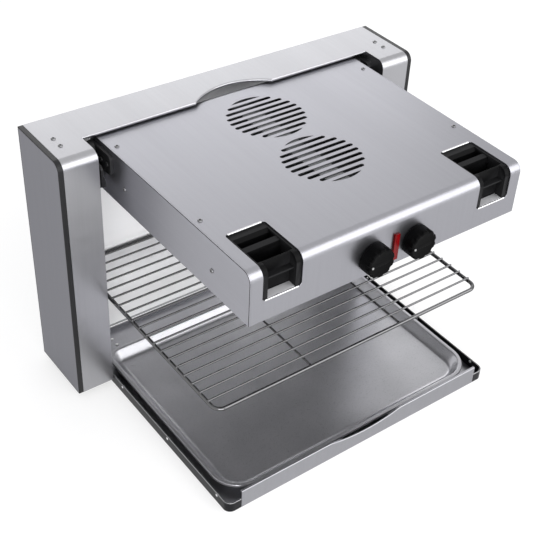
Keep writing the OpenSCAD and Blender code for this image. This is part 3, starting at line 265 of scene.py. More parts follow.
def moulded(name, colour, roughness, rubbed_colour, grain=900, depth=0.00005, metallic=0.0,
            gloss=0.25):
    """Moulded plastic or paint: fine grain, uneven gloss and edges rubbed to another tone."""
    material, tree, shader = new_finish(name)
    skin = place(tree, "ShaderNodeGroup", node_tree=moulded_skin)
    tree.links.new(own_place(tree), skin.inputs["Vector"])
    skin.inputs["Grain size"].default_value = grain
    base = place(tree, "ShaderNodeMix", {"Factor": skin.outputs["Cloud"]}, data_type="RGBA")
    base.inputs["A"].default_value = tone(colour, 0.85)
    base.inputs["B"].default_value = tone(colour, 1.15)
    worn = place(tree, "ShaderNodeMix", {"Factor": skin.outputs["Edge"]}, data_type="RGBA")
    tree.links.new(base.outputs[2], worn.inputs["A"])
    worn.inputs["B"].default_value = tone(rubbed_colour, 1)
    tree.links.new(worn.outputs[2], shader.inputs["Base Color"])
    uneven = place(tree, "ShaderNodeMapRange",
                   {"Value": skin.outputs["Grain"], "To Min": roughness - 0.08,
                    "To Max": roughness + 0.08})
    tree.links.new(uneven.outputs["Result"], shader.inputs["Roughness"])
    relief = place(tree, "ShaderNodeBump",
                   {"Height": skin.outputs["Grain"], "Strength": 0.3, "Distance": depth})
    tree.links.new(relief.outputs["Normal"], shader.inputs["Normal"])
    shader.inputs["Metallic"].default_value = metallic
    shader.inputs["Specular IOR Level"].default_value = gloss
    return material


end_plastic = moulded("end_plastic", (0.01, 0.01, 0.011), 0.42, (0.02, 0.02, 0.021))
for side in ("left", "right"):
    copy_solid(side + "_end_moulding", side + "_end_frame", end_plastic, 0.0005)


# Side plates of the frame: brushed aluminium with its grain upright, cut to shape and glued into
# the shallow tray of each end frame.
side_sheet = brushed_metal("side_sheet", (0.27, 0.27, 0.296), (26, 1500, 20), 0.36)
for side in ("left", "right"):
    copy_solid(side + "_side_sheet", side + "_side_plate", side_sheet, 0.0002)


# Back plate of the frame: galvanised steel sheet with its zinc spangle, folded at the foot and
# spot-welded to the pillars. Four holes take the wall screws.
def galvanised(name, colour, roughness):
    """Zinc-coated sheet with the spangle of its crystals."""
    material, tree, shader = new_finish(name)
    where = own_place(tree)
    crystals = place(tree, "ShaderNodeTexVoronoi", {"Vector": where, "Scale": 130.0})
    frost = place(tree, "ShaderNodeTexNoise", {"Vector": where, "Scale": 420.0, "Detail": 2.0})
    spangle = place(tree, "ShaderNodeMix",
                    {"Factor": 0.3, "A": crystals.outputs["Distance"], "B": frost.outputs["Fac"]})
    colours = place(tree, "ShaderNodeMix", {"Factor": spangle.outputs["Result"]}, data_type="RGBA")
    colours.inputs["A"].default_value = tone(colour, 0.85)
    colours.inputs["B"].default_value = tone(colour, 1.15)
    tree.links.new(colours.outputs[2], shader.inputs["Base Color"])
    dull = place(tree, "ShaderNodeMapRange",
                 {"Value": spangle.outputs["Result"], "To Min": roughness - 0.08,
                  "To Max": roughness + 0.08})
    tree.links.new(dull.outputs["Result"], shader.inputs["Roughness"])
    shader.inputs["Metallic"].default_value = 1.0
    return material


zinc_sheet = galvanised("zinc_sheet", (0.4, 0.41, 0.42), 0.42)
copy_solid("back_sheet", "back_plate", zinc_sheet, 0.0002)


# Liner of the bay: polished aluminium sheet, laid on the back plate. It throws the heat and the
# light forward.
mirror_sheet = brushed_metal("mirror_sheet", (0.92, 0.92, 0.925), (18, 18, 900), 0.28,
                             contrast=0.3, lines=0.02, metallic=0.25)
copy_solid("liner_sheet", "polished_liner", mirror_sheet, 0.0001)


# Caps in the feet of the pillars: moulded plastic, pushed in from below. The cord's gland, of the
# same plastic, is held in the right one by its flange and its nut.
for side in ("left", "right"):
    copy_solid(side + "_foot_cap", side + "_pillar_cap", end_plastic, 0.0004)
copy_solid("cord_gland", "cable_gland", end_plastic, 0.0006)


# Terminal block: a cream plastic moulding on the inner wall of the right pillar, where the mains
# wires end.
block_plastic = moulded("block_plastic", (0.62, 0.58, 0.48), 0.4, (0.72, 0.69, 0.6), gloss=0.4)
copy_solid("terminal_moulding", "terminal_block", block_plastic, 0.0005)


# Screws of the frame and of the head: zinc-plated steel button heads with a hexagon socket,
# turned from the rod, their shanks through the sheet.
def turned(shape, seat, axis, side, profile, steps, radius=None):
    """Turns a profile of (radius, height) pairs about an axis through a seat. A function of
    radius, angle and height may reshape the rings."""
    seat, axis, side = Vector(seat), Vector(axis), Vector(side)
    across = axis.cross(side)
    old = set(shape.verts)
    line = [shape.verts.new(seat + axis * h + side * r) for r, h in profile]
    edges = [shape.edges.new(pair) for pair in zip(line, line[1:])]
    bmesh.ops.spin(shape, geom=line + edges, cent=seat, axis=axis, angle=math.tau, steps=steps,
                   use_merge=True)
    fresh = [v for v in shape.verts if v not in old]
    if radius:
        for v in fresh:
            arm = v.co - seat
            h = arm.dot(axis)
            r = (arm - axis * h).length
            if r > 1e-7:
                angle = math.atan2(arm.dot(across), arm.dot(side))
                v.co = seat + axis * h + (arm - axis * h) * (radius(r, angle, h) / r)
    bmesh.ops.remove_doubles(shape, verts=fresh, dist=1e-7)
    fresh = [v for v in shape.verts if v not in old]
    bmesh.ops.recalc_face_normals(shape, faces=list({f for v in fresh for f in v.link_faces}))


def hexagon(r, angle, h):
    """Turns the inner rings of a screw's head into the six walls of its socket."""
    if r > socket_r or h < 0:
        return r
    return r * socket_flats / math.cos((angle % (math.pi / 3)) - math.pi / 6)


screw_profile = [(r / 1000, h / 1000) for r, h in (
    (0, -5), (1.3, -5), (1.5, -4.7), (1.5, 0), (2.5, 0), (2.6, 0.1), (2.6, 0.3), (2.48, 0.65),
    (2.2, 0.95), (1.8, 1.18), (1.45, 1.28), (1.28, 1.28), (1.2, 1.2), (1.2, 0.5), (0.3, 0.4),
    (0, 0.35))]
screw_steps = 24
socket_r = 0.0013
socket_flats = 0.93
pillar_screw_x = 0.22
pillar_screw_rows = (-0.042, -0.058)
head_top_z = 0.155
head_side_x = 0.177
top_screw_x = 0.168
top_screw_rows = (-0.0825, -0.2405)
side_screw_z = 0.1205
side_screw_rows = (-0.111, -0.275)
screw_zinc = moulded("screw_zinc", (0.18, 0.18, 0.185), 0.3, (0.3, 0.3, 0.31), grain=1500,
                     metallic=1.0)
frame_screw_shape = bmesh.new()
for s in (-1, 1):
    for y in pillar_screw_rows:
        turned(frame_screw_shape, (s * pillar_screw_x, y, frame_top_z), (0, 0, 1), (1, 0, 0),
               screw_profile, screw_steps, hexagon)
finish_piece("frame_screw_heads", frame_screw_shape, screw_zinc,
             node="frame_screws")
head_screw_shape = bmesh.new()
for s in (-1, 1):
    for y in top_screw_rows:
        turned(head_screw_shape, (s * top_screw_x, y, head_top_z), (0, 0, 1), (1, 0, 0),
               screw_profile, screw_steps, hexagon)
    for y in side_screw_rows:
        turned(head_screw_shape, (s * head_side_x, y, side_screw_z), (s, 0, 0), (0, 1, 0),
               screw_profile, screw_steps, hexagon)
finish_piece("head_screw_heads", head_screw_shape, screw_zinc,
             node="head_screws")


# Hinge of the head: brackets beside the pillars and arms on the head's sides, pressed from steel
# and painted black, with turned steel pins and a stack of friction washers on each.
black_paint = moulded("black_paint", (0.01, 0.01, 0.011), 0.38, (0.05, 0.05, 0.052), grain=700)
for side in ("left", "right"):
    copy_solid(side + "_hinge_pressing", side + "_hinge_bracket",
               black_paint, 0.0004)
    copy_solid(side + "_hinge_lever", side + "_hinge_arm", black_paint, 0.0004)
copy_solid("hinge_pin_turning", "hinge_pins", screw_zinc, 0.0003)
copy_solid("washer_stack", "hinge_washers", black_paint, 0.0001)


# Guides of the rack: channels folded from galvanised steel, on the inner walls of the pillars.
# Each holds the back of one side wire of the rack.
guide_sheet = galvanised("guide_sheet", (0.4, 0.4, 0.41), 0.36)
for side in ("left", "right"):
    copy_solid(side + "_guide_channel", side + "_rack_guide", guide_sheet, 0.0004)


# Pivot of the tray: turned steel pins through the pillar walls. Bushes of black nylon keep the
# tray's arms off the pillars.
copy_solid("tray_pin_turning", "tray_pivot_pins", screw_zinc, 0.0003)
copy_solid("tray_bush_moulding", "tray_pivot_bushes", end_plastic, 0.0002)


# Shell of the heater head: top, front and back bent from one brushed sheet, slots punched.
# The rear edge of each grip opening and its foot in the front are rounded off.
head_front_y = -0.337
grip_middle_x = 0.139
grip_half_w = 0.023
grip_rear_y = -0.273
grip_low_z = 0.118
grip_corner_r = 0.002
corner_slack = 0.0002


def on_grip_edge(x, y, z):
    """True on the rear edge of a grip opening and on the front edge at its foot, corners too."""
    across = abs(abs(x) - grip_middle_x) < grip_half_w + near
    rear_reach = abs(y - grip_rear_y + grip_corner_r)
    foot_reach = abs(z - grip_low_z - grip_corner_r)
    rear = rear_reach < grip_corner_r + corner_slack and abs(z - head_top_z) < near
    foot = foot_reach < grip_corner_r + corner_slack and abs(y - head_front_y) < near
    return across and (rear or foot)


head_sheet = brushed_metal("head_sheet", (0.34, 0.34, 0.367), grain_front_to_back, 0.33)
copy_solid("head_shell_sheet", "head_shell", head_sheet, 0.0003,
           rounds=[(0.0012, 4, on_grip_edge)])


# Side plates of the head: brushed aluminium with its grain upright, screwed to the shell by a
# flange under the top. A dark joint runs along their outline, but not round the screws' holes.
joint_width = 0.0005
hole_reach = 0.004
head_side_sheet = brushed_metal("head_side_sheet", (0.4, 0.4, 0.433), (26, 26, 1500), 0.36)
joint_shadow = moulded("joint_shadow", (0.04, 0.04, 0.042), 0.6, (0.04, 0.04, 0.042), gloss=0.1)
for side, s in (("left", -1), ("right", 1)):
    cheek_shape = merged_copy("head_" + side + "_side")
    outer = {v for v in cheek_shape.verts if abs(v.co.x - s * head_side_x) < near
             and all(math.hypot(v.co.y - y, v.co.z - side_screw_z) > hole_reach
                     for y in side_screw_rows)}
    outline = [e for e in cheek_shape.edges
               if e.calc_face_angle(0) > sharp_angle and outer.issuperset(e.verts)]
    joint = bmesh.ops.bevel(cheek_shape, geom=outline, offset=joint_width, segments=2, profile=0.5,
                            affect="EDGES", material=-1)
    for face in joint["faces"]:
        face.material_index = 1
    cheek = finish_piece("head_" + side + "_cheek", cheek_shape,
                         head_side_sheet, node="head_" + side + "_side")
    cheek.data.materials.append(joint_shadow)


# Ledges at the foot of the grip openings: thin matt strips, paler than the head's sheet, laid
# on the ledge as painted light, so that it looks lit from every side.
def add_block(shape, size, middle):
    """Adds a block of a size round a middle point and gives its corners."""
    corners = bmesh.ops.create_cube(shape, size=1.0)["verts"]
    bmesh.ops.scale(shape, verts=corners, vec=size)
    bmesh.ops.translate(shape, verts=corners, vec=middle)
    return corners


ledge_size = (0.0405, 0.0098, 0.0006)
ledge_y = -0.3303
# Paler than the head's sheet: painted light on the ledge.
pale_ledge_paint = moulded("pale_ledge_paint", (0.6, 0.6, 0.62), 0.5, (0.7, 0.7, 0.72), grain=1400,
                      metallic=0.3, gloss=0.5)
for side, s in (("left", -1), ("right", 1)):
    ledge_shape = bmesh.new()
    add_block(ledge_shape, ledge_size, (s * grip_middle_x, ledge_y, grip_low_z + 0.0003))
    finish_piece(side + "_grip_ledge", ledge_shape, pale_ledge_paint, 0.0003,
                 body="head")


# Hems of the grip openings: the sheet's rear edge and its foot are rolled over into a bead, so
# that no cut edge meets the hand. The bead is coloured lighter than the sheet: a painted
# highlight along it.
hem_r = 0.0012
hem_half = 0.0195
hem_places = ((grip_rear_y - 0.0002, 0.1543), (-0.3362, grip_low_z - 0.0004))
hem_profile = [
    (0, -hem_half - 0.0005), (hem_r * 0.6, -hem_half - 0.0004), (hem_r, -hem_half),
    (hem_r, hem_half), (hem_r * 0.6, hem_half + 0.0004), (0, hem_half + 0.0005)]
# Lighter than the sheet the bead is rolled from: painted highlight.
hem_highlight_metal = brushed_metal("hem_highlight_metal", (0.62, 0.62, 0.635), (60, 1500, 1500), 0.3)
for side, s in (("left", -1), ("right", 1)):
    hem_shape = bmesh.new()
    for y, z in hem_places:
        turned(hem_shape, (s * grip_middle_x, y, z), (1, 0, 0), (0, 0, 1), hem_profile, 24)
    finish_piece(side + "_grip_hems", hem_shape, hem_highlight_metal, body="head")


# Handles: one moulding each of heat-proof black plastic, with finger spaces and a bar across,
# snapped in from inside the head and held by flanges behind the sheet.
handle_plastic = moulded("handle_plastic", (0.004, 0.004, 0.0043), 0.42, (0.016, 0.016, 0.017),
                         grain=800, gloss=0.05)
for side in ("left", "right"):
    copy_solid(side + "_handle_moulding", side + "_handle_insert",
               handle_plastic, 0.0006, 3)


# Plates inside the head: a vent baffle of galvanised steel that stands on the heat shield. The
# shield and the frame round the heater window are steel in heat-proof black paint.
baffle_sheet = galvanised("baffle_sheet", (0.26, 0.265, 0.27), 0.45)
copy_solid("vent_baffle_sheet", "vent_baffle", baffle_sheet, 0.0002)
heat_paint = moulded("heat_paint", (0.02, 0.02, 0.021), 0.5, (0.06, 0.06, 0.062), grain=600)
copy_solid("heat_shield_sheet", "heat_shield", heat_paint, 0.0002)
copy_solid("heater_frame_sheet", "heater_frame", heat_paint, 0.0003)


# Reflector troughs, all pressed from one sheet of polished aluminium. Galvanised plates at their
# ends hold the tubes, and a guard of chromed wire lies across the heater window.
trough_sheet = brushed_metal("trough_sheet", (0.86, 0.86, 0.87), (18, 700, 18), 0.28,
                             contrast=0.3, lines=0.02)
copy_solid("reflector_sheet", "heat_reflector", trough_sheet, 0.0001)
copy_solid("tube_holder_sheet", "tube_holders", zinc_sheet, 0.0002)
# The chrome's colour is kept dark: painted shade, standing in for dark surroundings seen in the
# wire.
chrome = brushed_metal("chrome", (0.14, 0.14, 0.144), (60, 60, 60), 0.09,
                       contrast=0.3, lines=0.03)
copy_solid("guard_wires", "tube_guard", chrome, 0)


# Heating tubes: clear quartz, drawn, with a faint haze. Three of them lie across the head, each
# carried by its two ends.
tube_rows = (-0.125, -0.195, -0.265)
tube_z = 0.1107
tube_half = 0.1395
quartz_profile = [(0.004, -tube_half), (0.005, -tube_half), (0.005, tube_half),
                  (0.004, tube_half), (0.004, -tube_half)]
quartz_glass, quartz_tree, quartz_shader = new_finish("quartz_glass")
quartz_haze = place(quartz_tree, "ShaderNodeTexNoise",
                    {"Vector": own_place(quartz_tree), "Scale": 90.0, "Detail": 2.0})
quartz_gloss = place(quartz_tree, "ShaderNodeMapRange",
                     {"Value": quartz_haze.outputs["Fac"], "To Min": 0.1, "To Max": 0.3})
quartz_tree.links.new(quartz_gloss.outputs["Result"], quartz_shader.inputs["Roughness"])
quartz_shader.inputs["Base Color"].default_value = (0.93, 0.91, 0.88, 1)
quartz_shader.inputs["Transmission Weight"].default_value = 0.8
quartz_shader.inputs["IOR"].default_value = 1.45
quartz_shape = bmesh.new()
for y in tube_rows:
    turned(quartz_shape, (0, y, tube_z), (1, 0, 0), (0, 0, 1), quartz_profile, 32)
finish_piece("quartz_tubes", quartz_shape, quartz_glass, node="heating_tubes")


# Caps of the tubes: pressed and fired ceramic with a groove round each, cemented on. They sit in
# the holes of the holder plates.
cap_x = 0.138
cap_profile = [(r / 1000, h / 1000) for r, h in (
    (0, 0), (5.8, 0), (6.4, 0.6), (6.4, 3.5), (5.7, 4.2), (5.7, 5.2), (6.4, 5.9), (6.4, 11.3),
    (5.8, 11.9), (2, 12), (1.8, 11.2), (0, 11.1))]
ceramic = moulded("ceramic", (0.74, 0.71, 0.65), 0.5, (0.8, 0.78, 0.74), grain=500, gloss=0.4)
ceramic_shape = bmesh.new()
for y in tube_rows:
    for s in (-1, 1):
        turned(ceramic_shape, (s * cap_x, y, tube_z), (s, 0, 0), (0, 0, 1), cap_profile, 32)
finish_piece("ceramic_caps", ceramic_shape, ceramic, body="head")


# Coils in the tubes: resistance wire, wound over the whole length and cut off. Four turns are
# drawn, copied along the tube, and then over to the other tubes.
def repeat(shape, moves):
    """Copies all that a shape holds once for each move."""
    pattern = shape.verts[:] + shape.edges[:] + shape.faces[:]
    for move in moves:
        copied = bmesh.ops.duplicate(shape, geom=pattern)["geom"]
        corners = [part for part in copied if isinstance(part, bmesh.types.BMVert)]
        bmesh.ops.translate(shape, verts=corners, vec=move)


four_turns = 0.0136
lengths = 21
steps_a_length = 40
coil_start_x = -0.136
coil_end_x = 0.1367
coil_r = 0.0024
coil_wire_r = 0.0004
coil_wire = moulded("coil_wire", (0.3, 0.27, 0.24), 0.45, (0.4, 0.37, 0.34), grain=600,
                    metallic=1.0)
coil_shape = bmesh.new()
coil_start = (coil_start_x, tube_rows[0], tube_z + coil_r)
ring = bmesh.ops.create_circle(coil_shape, segments=6, radius=coil_wire_r,
                               matrix=Matrix.Translation(coil_start))["verts"]
bmesh.ops.rotate(coil_shape, verts=ring, cent=coil_start,
                 matrix=Matrix.Rotation(math.pi / 2, 3, "X"))
bmesh.ops.spin(coil_shape, geom=ring + coil_shape.edges[:], cent=(0, tube_rows[0], tube_z),
               axis=(1, 0, 0), dvec=(four_turns / steps_a_length, 0, 0), angle=math.tau * 4,
               steps=steps_a_length)
bmesh.ops.recalc_face_normals(coil_shape, faces=coil_shape.faces)
repeat(coil_shape, [(four_turns * i, 0, 0) for i in range(1, lengths)])
bmesh.ops.remove_doubles(coil_shape, verts=coil_shape.verts, dist=1e-6)
bmesh.ops.delete(coil_shape, geom=[v for v in coil_shape.verts if v.co.x > coil_end_x],
                 context="VERTS")
repeat(coil_shape, [(0, y - tube_rows[0], 0) for y in tube_rows[1:]])
finish_piece("heating_coils", coil_shape, coil_wire, body="head")


# Controls behind the front sheet: the clockwork timer and the heat switch, each in a case of
# cream plastic with a socket for the stem of its knob.
copy_solid("timer_case", "timer_body", block_plastic, 0.0008)
copy_solid("switch_case", "heat_switch_body", block_plastic, 0.0008)


# Lamp between the knobs: a lens of red plastic with a flange behind the front sheet, and a holder
# of cream plastic that clips the lamp behind it.
red_plastic = moulded("red_plastic", (0.1, 0.001, 0.0015), 0.2, (0.16, 0.002, 0.003), grain=500,
                      depth=0.00002, gloss=0.15)
copy_solid("lens_moulding", "lamp_lens", red_plastic, 0.0007, 3)
copy_solid("lamp_clip", "lamp_holder", block_plastic, 0.0005)


# Knobs: moulded black plastic, pushed on by a stem. Fine ribs on the skirt, ten shallow hollows
# for the fingers that fade out behind the face, a dished face with a rounded ridge, and a
# printed white dot.
knob_r = 0.017
knob_x = 0.028
knob_seat_y = -0.3376
knob_z = 0.116
skirt_top = 0.0095
rib_depth = 0.00011
face_r = 0.0135
hollow_r = 0.004
hollow_out = 0.0196
ridge_size = (0.0296, 0.004, 0.005)
ridge_y = -0.3502
knob_profile = [(r / 1000, h / 1000) for r, h in (
    (0, -16), (2.8, -16), (3, -15.8), (3, 0), (16, 0), (16.7, 0.2), (17, 0.8), (17, 2.5), (17, 5),
    (17, 8), (17, 9.6), (17, 10.6), (17, 11.4), (17, 12.2), (17, 13), (16.93, 13.6), (16.7, 14.2),
    (16.25, 14.7), (15.6, 14.95), (15, 15), (14.2, 14.9), (11, 14.62), (7, 14.45), (3, 14.4),
    (0, 14.4))]


def knob_radius(r, angle, h):
    """Ribs on the skirt and hollows round the face."""
    if r < face_r:
        return r
    if h < skirt_top:
        return r - rib_depth * (1 - math.cos(60 * angle)) * (h > 0.001)
    turn = (angle + math.pi / 10) % (math.pi / 5) - math.pi / 10
    inner = hollow_r ** 2 - (hollow_out * math.sin(turn)) ** 2
    depth = max(0, knob_r - hollow_out * math.cos(turn) + math.sqrt(inner)) if inner > 0 else 0
    return r - depth * min(1, (h - skirt_top) / 0.003) * min(1, (r - face_r) / 0.0015)


knob_plastic = moulded("knob_plastic", (0.002, 0.002, 0.0022), 0.38, (0.008, 0.008, 0.0085),
                       grain=1000, gloss=0.03)
dot_ink = moulded("dot_ink", (0.3, 0.3, 0.3), 0.5, (0.34, 0.34, 0.34))
for control, x in (("timer", -knob_x), ("heat", knob_x)):
    knob_shape = bmesh.new()
    turned(knob_shape, (x, knob_seat_y, knob_z), (0, -1, 0), (1, 0, 0), knob_profile, 240,
           knob_radius)
    ridge = add_block(knob_shape, ridge_size, (x, ridge_y, knob_z))
    bmesh.ops.bevel(knob_shape, geom=list({e for v in ridge for e in v.link_edges}), offset=0.0009,
                    segments=4, profile=0.5, affect="EDGES", material=-1)
    finish_piece(control + "_knob_moulding", knob_shape, knob_plastic,
                 node=control + "_knob")
    copy_solid(control + "_dot_print", control + "_knob_dot", dot_ink, 0)


# Rack: chromed wire. Nineteen cross wires with rounded ends lie on the frame wire and on two
# support wires, and are spot-welded to them.
# The wires' dark colour is painted shade of dark surroundings seen in them.
for wires in ("rack_frame", "rack_support_wires"):
    copy_solid(wires + "_chrome", wires, chrome, 0)
cross_z = -0.0385
cross_r = 0.00125
cross_half = 0.18812
cross_profile = [
    (0, -cross_half), (0.0006, -cross_half), (0.00105, -cross_half + 0.0002),
    (cross_r, -cross_half + 0.0006), (cross_r, cross_half - 0.0006),
    (0.00105, cross_half - 0.0002), (0.0006, cross_half), (0, cross_half)]
cross_wires = 19
first_wire_y = -0.01025
wire_spacing = 0.015329
weld_columns = (-0.187, -0.064, 0.064, 0.187)
weld_size = (0.0016, 0.0014, 0.0008, 1)
wire_shape = bmesh.new()
for i in range(cross_wires):
    y = first_wire_y - wire_spacing * i
    turned(wire_shape, (0, y, cross_z), (1, 0, 0), (0, 0, 1), cross_profile, 16)
    for x in weld_columns:
        weld = Matrix.Translation((x, y, cross_z - 0.0011)) @ Matrix.Diagonal(weld_size)
        bmesh.ops.create_icosphere(wire_shape, subdivisions=2, radius=1.0, matrix=weld)
finish_piece("cross_wires_chrome", wire_shape, chrome, node="rack_cross_wires")


# Tray: floor and folded front panel of one brushed sheet, with tight corners. The fold along
# the top of the panel and of its recess is rounded.
corner_x = 0.177
corner_y = -0.318
corner_shift = 0.007
corner_inner_r = 0.0145
corner_outer_r = 0.016
fold_z = -0.143
fold_half_w = 0.1745
fold_outer_y = -0.334
fold_inner_y = -0.3305
fold_recess_z = 0.0466
fold_recess_r = 0.1966


def tighten_corners(shape, radii):
    """Draws the front corners of a tray sheet, known by their radii, in to a smaller radius."""
    for v in shape.verts:
        s = math.copysign(1, v.co.x)
        arm = Vector((v.co.x - s * corner_x, v.co.y - corner_y))
        at_corner = s * arm.x > -2e-4 and arm.y < 2e-4
        if at_corner and any(abs(arm.length - r) < 4e-4 for r in radii):
            arm = arm * ((arm.length - corner_shift) / arm.length)
            v.co.x = s * (corner_x + corner_shift) + arm.x
            v.co.y = corner_y - corner_shift + arm.y


def on_the_fold(x, y, z):
    """True on the long edges of the panel's folded top."""
    in_top = abs(z - fold_z) < near
    in_recess = abs(math.hypot(x, z - fold_recess_z) - fold_recess_r) < 3e-4
    on_a_face = abs(y - fold_outer_y) < near or abs(y - fold_inner_y) < near
    return (in_top or in_recess) and abs(x) < fold_half_w and on_a_face


tray_sheet = brushed_metal("tray_sheet", (0.37, 0.37, 0.393), grain_front_to_back, 0.33)
cover_shape = merged_copy("tray_cover")
tighten_corners(cover_shape, [corner_inner_r])
round_off(cover_shape, 0.0011, 4, on_the_fold)
finish_piece("tray_cover_sheet", cover_shape, tray_sheet, 0.0005,
             node="tray_cover")


# Walls of the tray: bent steel strip in dark paint round the sides and front corners, riveted on.
# Their upper edge is rounded, and the rounding is coloured as light metal: a painted highlight
# along the top edge.
wall_top_z = -0.1545
wall_shape = merged_copy("tray_rim")
tighten_corners(wall_shape, [corner_inner_r, corner_outer_r])
bmesh.ops.bisect_plane(wall_shape, dist=1e-6, plane_co=(0, 0, wall_top_z), plane_no=(0, 0, 1),
                       geom=wall_shape.verts[:] + wall_shape.edges[:] + wall_shape.faces[:],
                       clear_outer=True)
bmesh.ops.holes_fill(wall_shape, edges=[e for e in wall_shape.edges if e.is_boundary], sides=0)
bmesh.ops.recalc_face_normals(wall_shape, faces=wall_shape.faces)
for face in round_off(wall_shape, 0.0006, 3, lambda x, y, z: abs(z - wall_top_z) < 1e-5):
    face.material_index = 1
tray_paint = moulded("tray_paint", (0.014, 0.014, 0.016), 0.3, (0.02, 0.02, 0.022), grain=700,
                     metallic=0.4, gloss=0.08)
# Light metal colour on the rounded top edge: painted highlight.
edge_highlight_paint = moulded("edge_highlight_paint", (0.3, 0.3, 0.31), 0.3, (0.35, 0.35, 0.36), grain=700,
                    metallic=1.0)
walls = finish_piece("tray_wall_strip", wall_shape, tray_paint, 0.0003,
                     node="tray_rim")
walls.data.materials.append(edge_highlight_paint)


# Arms of the tray: bent steel in the same dark paint. Each carries one side of the tray on its
# pivot pin.
for side in ("left", "right"):
    copy_solid(side + "_tray_lever", side + "_tray_arm", tray_paint, 0.0004)


# Rivets of the tray: bright steel, three through each side wall and two in the floor near each
# pivot, their heads formed as they are set.
wall_rivet_profile = [(r / 1000, h / 1000) for r, h in (
    (0, -1.2), (1.5, -1.2), (2, -0.7), (2, 0), (1, 0), (1, 1.5), (1.7, 1.5), (1.7, 1.62),
    (1.1, 1.85), (0, 1.9))]
floor_rivet_profile = [(r / 1000, h / 1000) for r, h in (
    (0, -0.2), (2, -0.2), (2, 0.3), (1.7, 0.8), (1, 1.1), (0, 1.2))]
wall_rivet_x = 0.1915
wall_rivet_z = -0.158
wall_rivet_rows = (-0.312, -0.211, -0.11)
floor_rivet_x = 0.1565
floor_rivet_rows = (-0.02, -0.032)
tray_floor_z = -0.1665
rivet_steel = moulded("rivet_steel", (0.8, 0.8, 0.81), 0.3, (0.9, 0.9, 0.9), grain=1500,
                      metallic=1.0)
tray_rivet_shape = bmesh.new()
for s in (-1, 1):
    for y in wall_rivet_rows:
        turned(tray_rivet_shape, (s * wall_rivet_x, y, wall_rivet_z), (s, 0, 0), (0, 0, 1),
               wall_rivet_profile, 20)
    for y in floor_rivet_rows:
        turned(tray_rivet_shape, (s * floor_rivet_x, y, tray_floor_z), (0, 0, 1), (1, 0, 0),
               floor_rivet_profile, 20)
finish_piece("tray_rivets", tray_rivet_shape, rivet_steel, node="tray_screws")


# Drip pan: deep-drawn steel sheet, satin. A turned-down rim, sloped sides and a soft foot
# where they run out into the floor.
pan_half_w = 0.1845
pan_front_y = -0.3245
pan_back_y = -0.05
pan_front_r = 0.036
pan_rear_r = 0.02
pan_wall = 0.0012
pan_steps = 14
pan_rear = pan_back_y - pan_rear_r
pan_front = pan_front_y + pan_front_r
pan_corners = ((1, pan_rear, pan_rear_r, 0), (-1, pan_rear, pan_rear_r, 1),
               (-1, pan_front, pan_front_r, 2), (1, pan_front, pan_front_r, 3))
pan_profile = [(inset / 1000, z / 1000) for inset, z in (
    (0, -155.3), (0, -153.6), (0.15, -152.9), (0.45, -152.45), (0.95, -152.3), (3.7, -152.3),
    (4.4, -152.45), (5, -152.85), (5.6, -153.55), (7.5, -156.3), (10, -159.9), (11.5, -161.9),
    (12.8, -163.3), (14.1, -164.25), (15.5, -164.8), (17.2, -165.05), (19, -165.1))]


def pan_loop(shape, inset, z):
    """One closed loop of the pan: its outline drawn in by an inset, at a height."""
    ring = []
    for s, middle_y, r, quarter in pan_corners:
        for step in range(pan_steps + 1):
            angle = (quarter + step / pan_steps) * math.pi / 2
            ring.append(shape.verts.new((s * (pan_half_w - r) + (r - inset) * math.cos(angle),
                                         middle_y + (r - inset) * math.sin(angle), z)))
    return [shape.edges.new(pair) for pair in zip(ring, ring[1:] + ring[:1])]


pan_shape = bmesh.new()
loops = [pan_loop(pan_shape, inset, z) for inset, z in pan_profile]
for outer, inner in zip(loops, loops[1:]):
    bmesh.ops.bridge_loops(pan_shape, edges=outer + inner)
bmesh.ops.contextual_create(pan_shape, geom=loops[-1])
bmesh.ops.recalc_face_normals(pan_shape, faces=pan_shape.faces)
if max(pan_shape.faces, key=lambda f: f.calc_area()).normal.z < 0:
    bmesh.ops.reverse_faces(pan_shape, faces=pan_shape.faces)
pan_sheet = moulded("pan_sheet", (0.42, 0.42, 0.442), 0.3, (0.48, 0.48, 0.5), grain=1300,
                    depth=0.00002, metallic=0.85)
pan = finish_piece("drip_pan_pressing", pan_shape, pan_sheet, node="drip_pan")
sheet = pan.modifiers.new("sheet", "SOLIDIFY")
sheet.thickness = pan_wall
sheet.offset = -1.0


# Studio: a pale floor just under the part, white all round, three soft boxes, and the camera,
# whose place and lens were fitted to measured points of the photograph.
floor_gap = 0.0002
floor_glow = 0.63
floor_shape = bmesh.new()
bmesh.ops.create_grid(floor_shape, x_segments=1, y_segments=1, size=6.0)
bmesh.ops.translate(floor_shape, verts=floor_shape.verts, vec=(0, 0, cad_low.z - floor_gap))
floor_mesh = bpy.data.meshes.new("floor")
floor_shape.to_mesh(floor_mesh)
floor_shape.free()
floor = bpy.data.objects.new("floor", floor_mesh)
bpy.context.scene.collection.objects.link(floor)
floor_paint, floor_tree, floor_shader = new_finish("floor_paint")
floor_shader.inputs["Base Color"].default_value = (0.4, 0.4, 0.4, 1)
floor_shader.inputs["Roughness"].default_value = 0.9
floor_shader.inputs["Specular IOR Level"].default_value = 0.0
floor_shader.inputs["Emission Color"].default_value = (1, 1, 1, 1)


def seen_directly(tree):
    """One for a ray from the camera, from a gloss or through glass, and nothing for the rest."""
    path = place(tree, "ShaderNodeLightPath")
    either = place(tree, "ShaderNodeMath",
                   {0: path.outputs["Is Camera Ray"], 1: path.outputs["Is Glossy Ray"]},
                   operation="MAXIMUM")
    all_three = place(tree, "ShaderNodeMath",
                      {0: either.outputs[0], 1: path.outputs["Is Transmission Ray"]},
                      operation="MAXIMUM")
    return all_three.outputs[0]


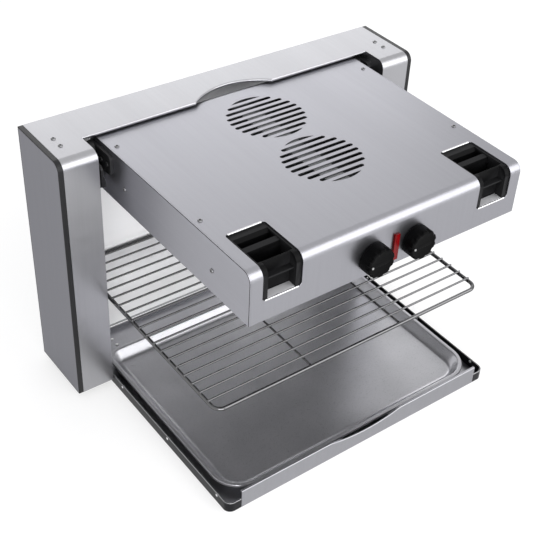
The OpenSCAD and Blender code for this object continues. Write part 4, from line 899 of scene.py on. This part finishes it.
floor_lift = place(floor_tree, "ShaderNodeMath",
                   {0: seen_directly(floor_tree), 1: floor_glow}, operation="MULTIPLY")
floor_tree.links.new(floor_lift.outputs[0], floor_shader.inputs["Emission Strength"])
floor_mesh.materials.append(floor_paint)

world = bpy.data.worlds.new("studio")
bpy.context.scene.world = world
world.use_nodes = True
sky = world.node_tree
sky_shader = sky.nodes["Background"]
sky_colour = place(sky, "ShaderNodeMix", {"Factor": seen_directly(sky)}, data_type="RGBA")
sky_colour.inputs["A"].default_value = (0.75, 0.75, 0.76, 1)
sky_colour.inputs["B"].default_value = (1, 1, 1, 1)
sky.links.new(sky_colour.outputs[2], sky_shader.inputs["Color"])
sky_shader.inputs["Strength"].default_value = 1.0


def soft_box(name, place_at, look_at, width, height, brightness):
    """A large square lamp that faces a point, unseen by the camera. White paper is 1 bright."""
    lamp = bpy.data.lights.new(name, "AREA")
    lamp.shape = "RECTANGLE"
    lamp.size = width
    lamp.size_y = height
    lamp.energy = brightness * math.pi * width * height
    box = bpy.data.objects.new(name, lamp)
    bpy.context.scene.collection.objects.link(box)
    box.visible_camera = False
    box.location = place_at
    box.rotation_mode = "QUATERNION"
    box.rotation_quaternion = (Vector(look_at) - Vector(place_at)).to_track_quat("-Z", "Y")


soft_box("front_box", (1.22, -2.07, 1.19), (0, -0.3, 0.1), 2.3, 2.3, 2.45)
soft_box("back_box", (0.87, 2.15, 1.04), (0, -0.15, 0.15), 2.8, 1.1, 1.8)
soft_box("fill_box", (-0.95, -2.1, 0.42), (0, -0.1, -0.02), 1.6, 0.8, 8.0)

lens = bpy.data.cameras.new("camera")
lens.sensor_width = 36
lens.lens = 72.29
lens.shift_x = -0.065
lens.shift_y = 0.020
lens.clip_start = 0.05
camera = bpy.data.objects.new("camera", lens)
bpy.context.scene.collection.objects.link(camera)
turn = Matrix(((0.79269, 0.3405, -0.50567),
               (-0.60662, 0.52279, -0.59892),
               (0.06043, 0.7815, 0.62097)))
camera.matrix_world = Matrix.Translation((-0.6328, -0.9536, 0.7608)) @ turn.to_4x4()
bpy.context.scene.camera = camera
bpy.context.scene.view_settings.view_transform = "Standard"
